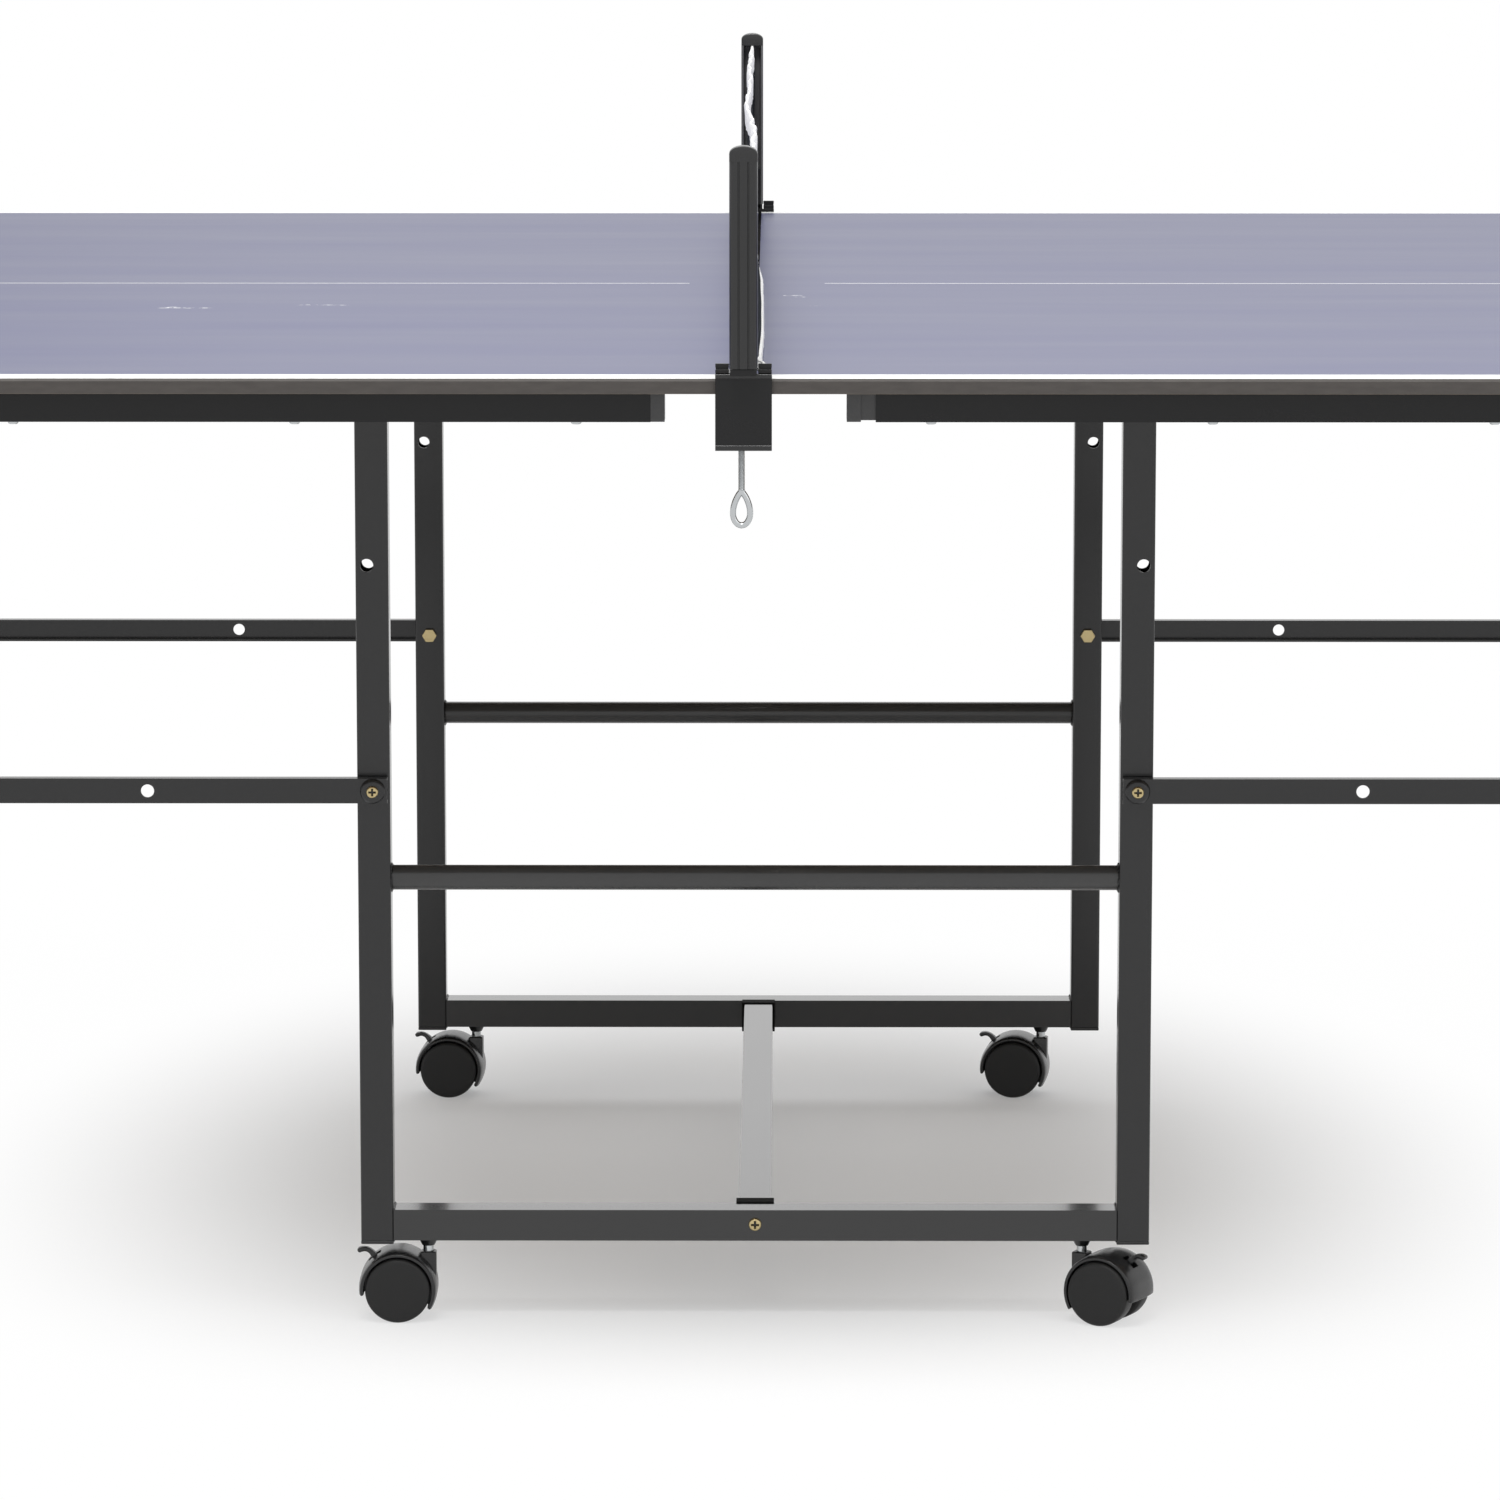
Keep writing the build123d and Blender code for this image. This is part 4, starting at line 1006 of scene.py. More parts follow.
@dataclass(frozen=True)
class CrossHead:
    """A screw or bolt with a domed head and a cross recess."""

    head_radius: float
    head_height: float
    shank_radius: float
    shank_length: float
    recess: float = 0.64
    slot_width: float = 0.36
    recess_depth: float = 0.85
    steps: int = 24

    def mesh(self, name: str) -> bpy.types.Mesh:
        """Builds the bolt, its head's seat at the origin and its head upwards.

        Args:
            name: The mesh's name.

        Returns:
            The mesh.
        """
        return mesh_from(name, self.build, 35.0)

    def build(self, work: bmesh.types.BMesh) -> None:
        """Fills a bmesh with the shank, the head and the recess, whose floor is marked for painted shade.

        Args:
            work: Takes the faces.
        """
        recess_shade = work.verts.layers.float.new("recess_shade")
        top = 0.74 * self.head_radius
        profile = [
            (0.0, -self.shank_length),
            (0.85 * self.shank_radius, -self.shank_length),
            (self.shank_radius, -self.shank_length + 0.3 * self.shank_radius),
            (self.shank_radius, 0.0),
            (self.head_radius, 0.0),
            (self.head_radius, 0.35 * self.head_height),
            (0.93 * self.head_radius, 0.75 * self.head_height),
            (top, self.head_height),
        ]
        lathe(work, profile, Matrix.Identity(4), self.steps)
        work.edges.ensure_lookup_table()
        rim = [e for e in work.edges if all(abs(v.co.z - self.head_height) < 1e-9 for v in e.verts)]
        arm = self.recess * self.head_radius
        half = self.slot_width * self.head_radius / 2
        quarter = [(arm, -half), (arm, half), (half, half)]
        outline = [
            (x * math.cos(a) - y * math.sin(a), x * math.sin(a) + y * math.cos(a))
            for a in (0.0, math.pi / 2, math.pi, 1.5 * math.pi)
            for x, y in quarter
        ]
        mouth = [work.verts.new((x, y, self.head_height)) for x, y in outline]
        edges = [work.edges.new((one, two)) for one, two in zip(mouth, mouth[1:] + mouth[:1])]
        bmesh.ops.triangle_fill(work, use_beauty=True, edges=rim + edges)
        depth = self.head_height - self.recess_depth * self.head_height
        floor = [work.verts.new((0.55 * x, 0.55 * y, depth)) for x, y in outline]
        # The recess floor is marked for painted shade, which the metal finishes darken
        for corner in floor:
            corner[recess_shade] = 1.0
        band(work, mouth, floor)
        work.faces.new(floor)


@dataclass(frozen=True)
class HexNut:
    """A plain hexagon nut with a bolt's end in it."""

    across_corners: float
    height: float
    bolt_radius: float

    def mesh(self, name: str) -> bpy.types.Mesh:
        """Builds the nut, its seat at the origin and its end upwards."""
        return mesh_from(name, self.build, 25.0)

    def build(self, work: bmesh.types.BMesh) -> None:
        """Fills a bmesh with the nut and the bolt's end.

        Args:
            work: Takes the faces.
        """
        flat = 0.93 * self.across_corners
        tall = self.height
        profile = [(0.0, 0.0), (flat, 0.0), (self.across_corners, 0.1 * tall)]
        profile += [(self.across_corners, 0.9 * tall), (flat, tall), (self.bolt_radius, tall)]
        profile += [(self.bolt_radius, 0.86 * tall), (0.0, 0.86 * tall)]
        lathe(work, profile, Matrix.Identity(4), 6)


def domed_ring(radius: float, height: float, bore: float) -> Callable[[bmesh.types.BMesh], None]:
    """A domed washer's builder.

    Args:
        radius: Its outer radius.
        height: Its height at the bore.
        bore: The radius of its bore.

    Returns:
        The builder, with the seat at the origin and the dome upwards.
    """
    arc = [math.radians(a) for a in (0, 15, 30, 45, 60, 75, 90)]
    dome = [(bore + (radius - bore) * math.cos(a), height * (0.12 + 0.88 * math.sin(a))) for a in arc]
    profile = [(bore, 0.0), (radius, 0.0), *dome, (bore, 0.0)]
    return lambda work: lathe(work, profile, Matrix.Identity(4), 40)


def weld_bead(work: bmesh.types.BMesh) -> None:
    """Fills a bmesh with one low drop of a weld bead."""
    squash = Matrix.Diagonal((1.9 * MM, 1.9 * MM, 1.5 * MM, 1.0))
    bmesh.ops.create_icosphere(work, subdivisions=1, radius=1.0, matrix=squash)


def weld_ring(
    places: Places, centre: Sequence[float], way: Vector, radius: float, draw: random.Random
) -> None:
    """Adds the drops of a weld round a tube's end.

    Args:
        places: Takes the drops.
        centre: The middle of the tube's end.
        way: The direction along the tube, away from what it is welded to.
        radius: The tube's radius.
        draw: Gives each drop its small differences.
    """
    drops, lift = 22, 0.4 * MM
    frame = axis_frame(centre, way)
    for k in range(drops):
        a = math.tau * (k + draw.uniform(-0.2, 0.2)) / drops
        places.add(frame @ polar(radius + lift, a), way, draw.uniform(0.8, 1.15))


OUTWARD = {-1: Axis.NEAR, 1: Axis.FAR}
INWARD = {-1: Axis.FAR, 1: Axis.NEAR}
DOWNWARD = {-1: Axis.DOWN, 1: Axis.DOWN}


def both_rows(xs: Iterable[float], out: float, z: float, ways: Mapping[int, Axis]) -> Places:
    """Places that are alike on the near and far side of the table.

    Args:
        xs: Places along the table.
        out: Their distance from the table's middle.
        z: Their height.
        ways: The way that a shape faces on either side.

    Returns:
        The places.
    """
    places = Places()
    for sy in ROWS.values():
        for x in xs:
            places.add((x, sy * out, z), ways[sy])
    return places


@dataclass(frozen=True)
class Steelwork:
    """Sizes that the frame, the top and the legs share."""

    post_y: float = 0.4245
    post: float = 0.025
    rung_radius: float = 0.0095
    bar_z: float = 0.414
    bar_out: float = 0.450
    bar_wall: float = 0.002
    side_play: float = 0.0002

    @property
    def inner(self) -> float:
        """Distance of the posts' inner faces from the table's middle."""
        return self.post_y - self.post / 2

    @property
    def outer(self) -> float:
        """Distance of the posts' outer faces from the table's middle."""
        return self.post_y + self.post / 2


STEEL = Steelwork()


@dataclass(frozen=True)
class Bolting:
    """Bolts with nuts, alike on the near and far side of the table."""

    dresser: Dresser
    xs: tuple[float, ...]
    z: float
    head_seat: float
    nut_seat: float
    head: tuple[float, float] = (4.6 * MM, 2.6 * MM)
    nut: tuple[float, float] = (6.5 * MM, 5.0 * MM)
    shank: float = 4.0 * MM

    def fasten(self, bolts: str, nuts: str, node: str) -> None:
        """Sets the bolts and nuts in the place of a CAD node.

        Args:
            bolts: Name of the bolts' piece.
            nuts: Name of the nuts' piece.
            node: The node that they stand for.
        """
        bolt = CrossHead(*self.head, self.shank, self.head_seat - self.nut_seat)
        nut = HexNut(*self.nut, self.shank)
        rows = ((bolts, bolt, self.head_seat, OUTWARD), (nuts, nut, self.nut_seat, INWARD))
        for name, part, seat, ways in rows:
            places = both_rows(self.xs, seat, self.z, ways)
            mesh = part.mesh(f"{name}_one")
            self.dresser.set_shapes(mesh, places, Kit.YELLOW_ZINC, name, self.dresser.body[node], node)


@dataclass(frozen=True)
class BarPivot:
    """Pivots of the bars: bolts, domed washers, bushes and nuts."""

    dresser: Dresser
    xs: tuple[float, ...]
    bar_play: float = 0.0
    post_play: float = 0.0
    dome_radius: float = 9.5 * MM
    dome_height: float = 4.0 * MM
    bush_radius: float = 6.5 * MM
    bore: float = 4.02 * MM

    def fasten(self, bolts: str, nuts: str, node: str) -> None:
        """Sets the bolts and nuts in the place of a CAD node.

        Args:
            bolts: Name of the bolts' piece.
            nuts: Name of the nuts' piece.
            node: The node that they stand for.
        """
        head = STEEL.bar_out + self.bar_play + self.dome_height
        pairs = Bolting(self.dresser, self.xs, STEEL.bar_z, head, STEEL.inner - self.post_play)
        pairs.fasten(bolts, nuts, node)

    def space(self, domes: str, bushes: str, node: str) -> None:
        """Sets the domed washers and the bushes in the place of a CAD node.

        Args:
            domes: Name of the washers' piece.
            bushes: Name of the bushes' piece.
            node: The node that they stand for.
        """
        start = STEEL.outer + self.post_play
        length = STEEL.bar_out - STEEL.bar_wall - self.bar_play - start
        ring = [(self.bore, 0.0), (self.bush_radius, 0.0), (self.bush_radius, length)]
        ring += [(self.bore, length), (self.bore, 0.0)]
        dome = domed_ring(self.dome_radius, self.dome_height, self.bore)
        for name, build, seat in (
            (domes, dome, STEEL.bar_out + self.bar_play),
            (bushes, lambda work: lathe(work, ring, Matrix.Identity(4), 32), start),
        ):
            places = both_rows(self.xs, seat, STEEL.bar_z, OUTWARD)
            mesh = mesh_from(f"{name}_one", build)
            self.dresser.set_shapes(mesh, places, Kit.BLACK_PLASTIC, name, self.dresser.body[node], node)


# Sub-assemblies


@dataclass
class WheeledFrame:
    """The fixed frame: posts, rungs, rails, crossbar and bar pivots."""

    dresser: Dresser
    post_x: float = 0.2895
    rung_z: float = 0.3435
    rail_z: tuple[float, float] = (0.063, 0.087)
    rail_drops: int = 10
    rail_weld: float = 0.0105
    crossbar_z: float = 0.076
    rounding: float = 1.4 * MM
    crossbar_round: float = 2.3 * MM
    bracket_wall: float = 0.002
    bracket_length: float = 0.030
    cheek_toe: float = 0.006
    sleeve: float = 0.0145
    strap: float = 0.001
    strap_sink: float = 0.0003
    strap_inset: float = 0.0001

    def make(self) -> None:
        """Dresses every piece of the frame."""
        for row in ROWS:
            for side in SIDES:
                self.dresser.soften(f"{row}_{side}_post", Kit.BLACK_STEEL, 0.3 * MM)
            self.dresser.soften(f"{row}_bottom_rail", Kit.RAIL_STEEL, self.rounding)
        self.dresser.soften("crossbar", Kit.RAIL_STEEL, self.crossbar_round, 4)
        self.dresser.soften("post_plugs", Kit.BLACK_PLASTIC, 0.9 * MM)
        self.dresser.soften("caster_sockets", Kit.BLACK_PLASTIC, 0.4 * MM)
        self.dresser.soften("caster_stems", Kit.BRIGHT_ZINC, 0.5 * MM)
        self.dresser.paint("rungs", Kit.RUNG_STEEL)
        self.brackets()
        self.sleeves()
        self.welds()
        self.bolts()

    def brackets(self) -> None:
        """Bends the crossbar's end brackets, whose cheeks slope down to their free ends."""
        low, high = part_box("crossbar_brackets")
        wall = self.bracket_wall
        end, free = high.y, high.y - self.bracket_length
        cheek = [(end, low.z), (free, low.z), (free, low.z + self.cheek_toe)]
        cheek += [(end - self.sleeve, high.z), (end, high.z)]

        def build(work: bmesh.types.BMesh) -> None:
            """Fills a bmesh with both brackets.

            Args:
                work: Takes the faces.
            """
            for sy in ROWS.values():
                back = on_row(sy, end, end - wall)
                blocks(work, [((low.x + wall, high.x - wall), back, (low.z, high.z))])
                ring = [Vector((0.0, sy * y, z)) for y, z in cheek]
                for x in (low.x, high.x - wall):
                    tube(work, [Vector((u, 0.0, 0.0)) for u in (x, x + wall)], lambda _, ring=ring: ring)

        piece = self.dresser.rounded(shaped("crossbar_brackets_bent", build), 0.4 * MM, 2, "ANGLE")
        self.dresser.stand_in(piece, "crossbar_brackets", Kit.MATT_STEEL)

    def sleeves(self) -> None:
        """Lays a thin strap over each end of the crossbar."""
        low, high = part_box("crossbar_brackets")
        tall = (high.z - self.strap_sink, high.z + self.strap)
        ends = [on_row(sy, high.y - self.strap_inset, high.y - self.sleeve) for sy in ROWS.values()]
        rows = [((low.x, high.x), deep, tall) for deep in ends]
        piece = shaped("crossbar_straps", lambda work: blocks(work, rows))
        self.dresser.rounded(piece, 0.3 * MM, 2, "ANGLE")
        self.dresser.lay(piece, Kit.MATT_STEEL, "frame", "black_steel")

    def welds(self) -> None:
        """Runs weld beads round the rungs' and along the rails' ends."""
        draw = random.Random(7)
        places = Places()
        inner = self.post_x - STEEL.post / 2
        for sx in SIDES.values():
            way = Vector((-sx, 0.0, 0.0))
            for sy in ROWS.values():
                mid = sy * STEEL.post_y
                weld_ring(places, (sx * inner, mid, self.rung_z), way, STEEL.rung_radius, draw)
                for z in self.rail_z:
                    for y in spread(-self.rail_weld, self.rail_weld, self.rail_drops):
                        spot = (sx * inner, mid + y + draw.uniform(-0.0004, 0.0004), z)
                        places.add(spot, way, draw.uniform(0.6, 0.9))
        bead = mesh_from("weld_bead", weld_bead)
        self.dresser.set_shapes(bead, places, Kit.BLACK_STEEL, "weld_beads", "frame")

    def bolts(self) -> None:
        """Sets the bolts of the bar pivots and of the crossbar, and what goes with them."""
        pivot = BarPivot(self.dresser, (-self.post_x, self.post_x), bar_play=STEEL.side_play)
        pivot.fasten("pivot_bolts", "pivot_bolts_nuts", "bar_pivot_bolts")
        rail = Bolting(
            self.dresser, (0.0,), self.crossbar_z, STEEL.outer, STEEL.inner - self.bracket_wall,
            head=(5.0 * MM, 3.0 * MM), nut=(5.0 * MM, 4.5 * MM), shank=3.0 * MM,
        )
        rail.fasten("rail_bolts", "rail_bolts_nuts", "crossbar_bolts")
        pivot.space("pivot_domes", "pivot_bushes", "pivot_washers")


@dataclass
class Caster:
    """One braked swivel caster with twin wheels."""

    dresser: Dresser
    row: str
    side: str
    turn: float
    stem_x: float = 0.251
    stem_y: float = 0.4245
    trail: float = 0.023
    wheel_radius: float = 0.025
    wheel_inner: float = 0.007
    wheel_outer: float = 0.0225
    axle_radius: float = 0.004
    lever_climb: float = 52.0
    lever_root: float = 0.0244
    pin_out: float = 0.0282
    pin_radius: float = 0.0012
    pin_half: float = 0.0062
    lever_round: float = 0.0008
    slot: tuple[float, float] = (40.6, 63.4)

    @property
    def name(self) -> str:
        """Start of the caster's node names."""
        return f"{self.row}_{self.side}_caster"

    @property
    def ahead(self) -> Vector:
        """Direction from the stem towards the axle."""
        return polar(1.0, math.radians(self.turn))

    @property
    def axle(self) -> Vector:
        """Direction of the axle."""
        return Vector((-self.ahead.y, self.ahead.x, 0.0))

    @property
    def centre(self) -> Vector:
        """Middle of the axle."""
        stem = Vector((SIDES[self.side] * self.stem_x, ROWS[self.row] * self.stem_y, self.wheel_radius))
        return stem + self.ahead * self.trail

    def make(self) -> None:
        """Dresses the hood, the wheels and the brake lever."""
        for name, build, node in (("cover", self.cover, "hood"), ("lever", self.lever, "brake")):
            piece = shaped(f"{self.name}_{name}", build)
            self.dresser.stand_in(piece, f"{self.name}_{node}", Kit.BLACK_PLASTIC)
        self.wheels()

    def cover(self, work: bmesh.types.BMesh) -> None:
        """Builds the hood: its crowned shell, the web between the wheels and the neck on the stem.

        Args:
            work: Takes the faces.
        """
        self.shell(work)
        self.web(work)
        self.neck(work)

    def shell(self, work: bmesh.types.BMesh) -> None:
        """Sweeps the shell over the wheels and leaves the lever's slot open.

        Args:
            work: Takes the faces.
        """
        # Radius and half width in mm, from the slot's outer edge round the rim to its inner edge
        half = (
            (30.2, 4.5), (30.12, 9.0), (29.9, 13.0), (29.5, 16.5), (29.05, 18.9), (28.5, 20.1),
            (27.8, 20.5), (26.9, 20.45), (26.4, 20.2), (26.2, 19.6), (26.2, 4.5),
        )
        loop = [*half, *((r, -w) for r, w in reversed(half))]
        inner, count = len(half) - 1, len(loop)
        middle = (loop[0][0] + loop[inner][0]) / 2
        # Angle about the axle and how much the section shrinks there
        stations = [(-8.0, 0.5), (-7.5, 0.2)]
        stations += [(a, 0.0) for a in spread(-6.6, self.slot[0], 10)]
        opens = len(stations) - 1
        stations += [(a, 0.0) for a in spread(*self.slot, 5)[1:]]
        shuts = len(stations) - 1
        stations += [(a, 0.0) for a in spread(self.slot[1], 209.6, 30)[1:]]
        stations += [(210.5, 0.2), (211.0, 0.5)]
        rings = []
        for angle, shrink in stations:
            out = self.sloped(angle)
            radii = [middle + (r - middle) * (1.0 - shrink) for r, _ in loop]
            widths = [w * (1.0 - 0.04 * shrink) for _, w in loop]
            spots = [self.centre + (out * r + self.axle * w) * MM for r, w in zip(radii, widths)]
            rings.append([work.verts.new(spot) for spot in spots])
        for k, (one, two) in enumerate(zip(rings, rings[1:])):
            slotted = opens <= k < shuts
            for j in range(count):
                after = (j + 1) % count
                if slotted and j in (inner, count - 1):
                    continue
                work.faces.new((one[j], one[after], two[after], two[j]))
            if slotted:
                for top, base in ((0, inner), (count - 1, inner + 1)):
                    work.faces.new((one[top], two[top], two[base], one[base]))
        for ring in (rings[opens], rings[shuts]):
            work.faces.new([ring[j] for j in (count - 1, 0, inner, inner + 1)])
        for ring in (rings[0], rings[-1]):
            work.faces.new(ring)

    def web(self, work: bmesh.types.BMesh) -> None:
        """Builds the web between the wheels, with the lever's notch and the axle's boss.

        Args:
            work: Takes the faces.
        """
        full, notch, boss = 28.2, 21.5, 8.0
        outline = [(a, full) for a in spread(-8.0, 39.5, 12)]
        outline += [(39.5, notch), (64.5, notch)]
        outline += [(a, full) for a in spread(64.5, 211.0, 36)]
        outline += [(a, boss) for a in spread(211.0, 352.0, 10)]
        steps = ((-6.2, 0.6), (-5.6, 0.0), (5.6, 0.0), (6.2, 0.6))
        path = [self.centre + self.axle * w * MM for w, _ in steps]
        tube(work, path, lambda k: [self.sloped(a) * (r - steps[k][1]) * MM for a, r in outline])

    def neck(self, work: bmesh.types.BMesh) -> None:
        """Builds the square neck, bored for the stem.

        Args:
            work: Takes the faces.
        """
        # Height and half width in mm, and the power that squares the section; the bore is round
        steps = (
            (30.0, 6.2, 0.25), (51.4, 6.2, 0.25), (52.1, 5.95, 0.3), (52.5, 5.4, 0.35),
            (52.5, 4.6, 1.0), (52.1, 4.15, 1.0), (36.0, 4.15, 1.0),
        )
        stem = self.centre - self.ahead * self.trail
        path = [Vector((stem.x, stem.y, z * MM)) for z, _, _ in steps]
        turns = circle(32, 0.5)

        def ring(k: int) -> list[Vector]:
            """The offsets of the section at one step of the path.

            Args:
                k: Number of the step.

            Returns:
                The offsets, in turning order.
            """
            _, size, power = steps[k]
            sides = [(math.cos(a), math.sin(a)) for a in turns]
            square = [[math.copysign(abs(v) ** power, v) * size * MM for v in side] for side in sides]
            return [self.ahead * u + self.axle * v for u, v in square]

        tube(work, path, ring)

    def sloped(self, climb: float) -> Vector:
        """Direction in the caster's side view that climbs by an angle in degrees."""
        angle = math.radians(climb)
        return self.ahead * math.cos(angle) + Vector((0.0, 0.0, math.sin(angle)))

    def lever(self, work: bmesh.types.BMesh) -> None:
        """Sweeps the brake lever, which leaves its slot outwards and curls over to a rounded tip.

        Args:
            work: Takes the faces.
        """
        # Step, climb in degrees, thickness and width; lengths in mm
        stations = (
            (0.0, 52, 4.4, 7.6), (5.8, 52, 4.4, 7.6), (1.3, 52, 4.3, 7.5), (1.4, 50, 3.9, 7.1),
            (1.5, 44, 3.5, 6.7), (1.5, 35, 3.3, 6.5), (1.5, 25, 3.2, 6.5), (1.5, 13, 3.2, 6.8),
            (1.5, 1, 3.3, 7.1), (1.5, -10, 3.5, 7.4), (1.4, -19, 3.5, 7.5), (0.9, -25, 3.1, 7.2),
            (0.5, -28, 2.4, 6.6), (0.3, -29, 1.3, 5.6),
        )
        path = [self.centre + self.sloped(self.lever_climb) * self.lever_root]
        for step, climb, _, _ in stations[1:]:
            path.append(path[-1] + self.sloped(climb) * step * MM)

        def ring(k: int) -> list[Vector]:
            """The offsets of the section at one step of the path.

            Args:
                k: Number of the step.

            Returns:
                The offsets, in turning order.
            """
            _, climb, thick, wide = stations[k]
            over = self.sloped(climb + 90.0)
            u, v = wide * MM / 2, thick * MM / 2
            soft = min(self.lever_round, 0.6 * v)
            corner = ((u, v - soft), (u - 0.3 * soft, v - 0.3 * soft), (u - soft, v))
            upper = [*corner, *mirrored(corner)]
            return [self.axle * a + over * b for a, b in upper + [(-a, -b) for a, b in upper]]

        tube(work, path, ring)
        pin = axis_frame(self.centre + self.sloped(self.lever_climb) * self.pin_out, self.axle)
        r, h = self.pin_radius, self.pin_half
        lathe(work, [(0.0, -h), (r, -h), (r, h), (0.0, h)], pin, 16)

    def wheels(self) -> None:
        """Turns the pair of wheels with a rounded tread and a dished face."""
        frame = axis_frame(self.centre, self.axle)
        r, inner, outer = self.wheel_radius, self.wheel_inner, self.wheel_outer
        half = [
            (self.axle_radius, 0.0), (self.axle_radius, inner), (r - 2.0 * MM, inner),
            (r - 0.6 * MM, inner + 0.5 * MM), (r, inner + 1.8 * MM), (r, outer - 3.6 * MM),
            (r - 0.35 * MM, outer - 1.9 * MM), (r - 1.2 * MM, outer - 0.8 * MM),
            (r - 2.4 * MM, outer - 0.25 * MM), (r - 4.0 * MM, outer - 0.1 * MM),
            (0.45 * r, outer), (0.0, outer),
        ]
        profile = [(a, -b) for a, b in reversed(half)] + half[1:]
        piece = shaped(f"{self.name}_tread", lambda work: lathe(work, profile, frame, 72), 50.0)
        self.dresser.stand_in(piece, f"{self.name}_wheels", Kit.WHEEL_PLASTIC)


@dataclass
class TopHalf:
    """One half of the top with its rails, hinges and screws."""

    dresser: Dresser
    side: str
    under: float = 0.748
    edge_rail_low: float = 0.726
    edge_rail_y: float = 0.730
    cross_rail_low: float = 0.728
    bracket_low: float = 0.7455
    hinge_x: tuple[float, float] = (0.2895, 1.1595)
    bracket_step: float = 0.030
    cross_x: tuple[float, float] = (0.3445, 1.342)
    cross_y: float = 0.320
    first_screw: float = 0.126
    screw_pitch: float = 0.200
    screw_count: int = 6
    bite: float = 0.0078

    def make(self) -> None:
        """Dresses the board, the rails, the brackets and the screws."""
        dress = self.dresser
        dress.soften(f"{self.side}_top", Kit.BOARD, 0.5 * MM)
        dress.soften(f"{self.side}_side_rails", Kit.SATIN_STEEL, 1.3 * MM)
        dress.soften(f"{self.side}_cross_rails", Kit.SATIN_STEEL, 1.2 * MM)
        dress.soften(f"{self.side}_rail_caps", Kit.CAP_PLASTIC, 0.7 * MM)
        dress.soften(f"{self.side}_hinge_brackets", Kit.BLACK_STEEL, 0.6 * MM)
        dress.soften(f"{self.side}_hinge_pins", Kit.BRIGHT_ZINC, 0.5 * MM)
        self.screws()

    def screws(self) -> None:
        """Sets the screws that hold the rails and brackets under the board."""
        sx, side = SIDES[self.side], self.side
        along = [self.first_screw + k * self.screw_pitch for k in range(self.screw_count)]
        hinged = [x + step for x in self.hinge_x for step in (-self.bracket_step, self.bracket_step)]
        for kind, low, xs, y in (
            ("rail", self.edge_rail_low, along, self.edge_rail_y),
            ("bracket", self.bracket_low, hinged, STEEL.post_y),
            ("cross", self.cross_rail_low, self.cross_x, self.cross_y),
        ):
            name = f"{side}_{kind}_screws"
            places = both_rows([sx * x for x in xs], y, low, DOWNWARD)
            screw = CrossHead(4.0 * MM, 2.6 * MM, 2.0 * MM, self.under - low + self.bite, steps=16)
            mesh = screw.mesh(f"{name}_one")
            stands_for = f"{side}_rail_screws"
            self.dresser.set_shapes(mesh, places, Kit.BRIGHT_ZINC, name, f"{side}_half", stands_for)


@dataclass
class EndSupport:
    """The legs of one half and the bars that hold them upright."""

    dresser: Dresser
    side: str
    leg_x: float = 1.1595
    rung_z: float = 0.200

    def make(self) -> None:
        """Dresses the legs, the feet, the bars and their bolts."""
        dress = self.dresser
        dress.soften(f"{self.side}_legs", Kit.BLACK_STEEL, 0.3 * MM)
        dress.paint(f"{self.side}_leg_rung", Kit.RUNG_STEEL)
        dress.soften(f"{self.side}_feet", Kit.RUBBER, 1.6 * MM, 3)
        dress.soften(f"{self.side}_bars", Kit.BLACK_STEEL, 0.7 * MM)
        self.bolts()
        self.welds()

    def welds(self) -> None:
        """Runs a weld bead round each end of the leg rung."""
        draw = random.Random(SIDES[self.side])
        places = Places()
        x = SIDES[self.side] * self.leg_x
        for sy in ROWS.values():
            way = Vector((0.0, -sy, 0.0))
            weld_ring(places, (x, sy * STEEL.inner, self.rung_z), way, STEEL.rung_radius, draw)
        name = f"{self.side}_leg_welds"
        bead = mesh_from(name, weld_bead)
        self.dresser.set_shapes(bead, places, Kit.BLACK_STEEL, name, f"{self.side}_leg_set")

    def bolts(self) -> None:
        """Sets the leg bolts with their nuts, domed washers and bushes."""
        start, node = f"{self.side}_leg", f"{self.side}_bar_bolts"
        xs = (SIDES[self.side] * self.leg_x,)
        pivot = BarPivot(self.dresser, xs, post_play=STEEL.side_play)
        pivot.fasten(f"{start}_bolts", f"{start}_nuts", node)
        pivot.space(f"{start}_domes", f"{start}_bushes", node)


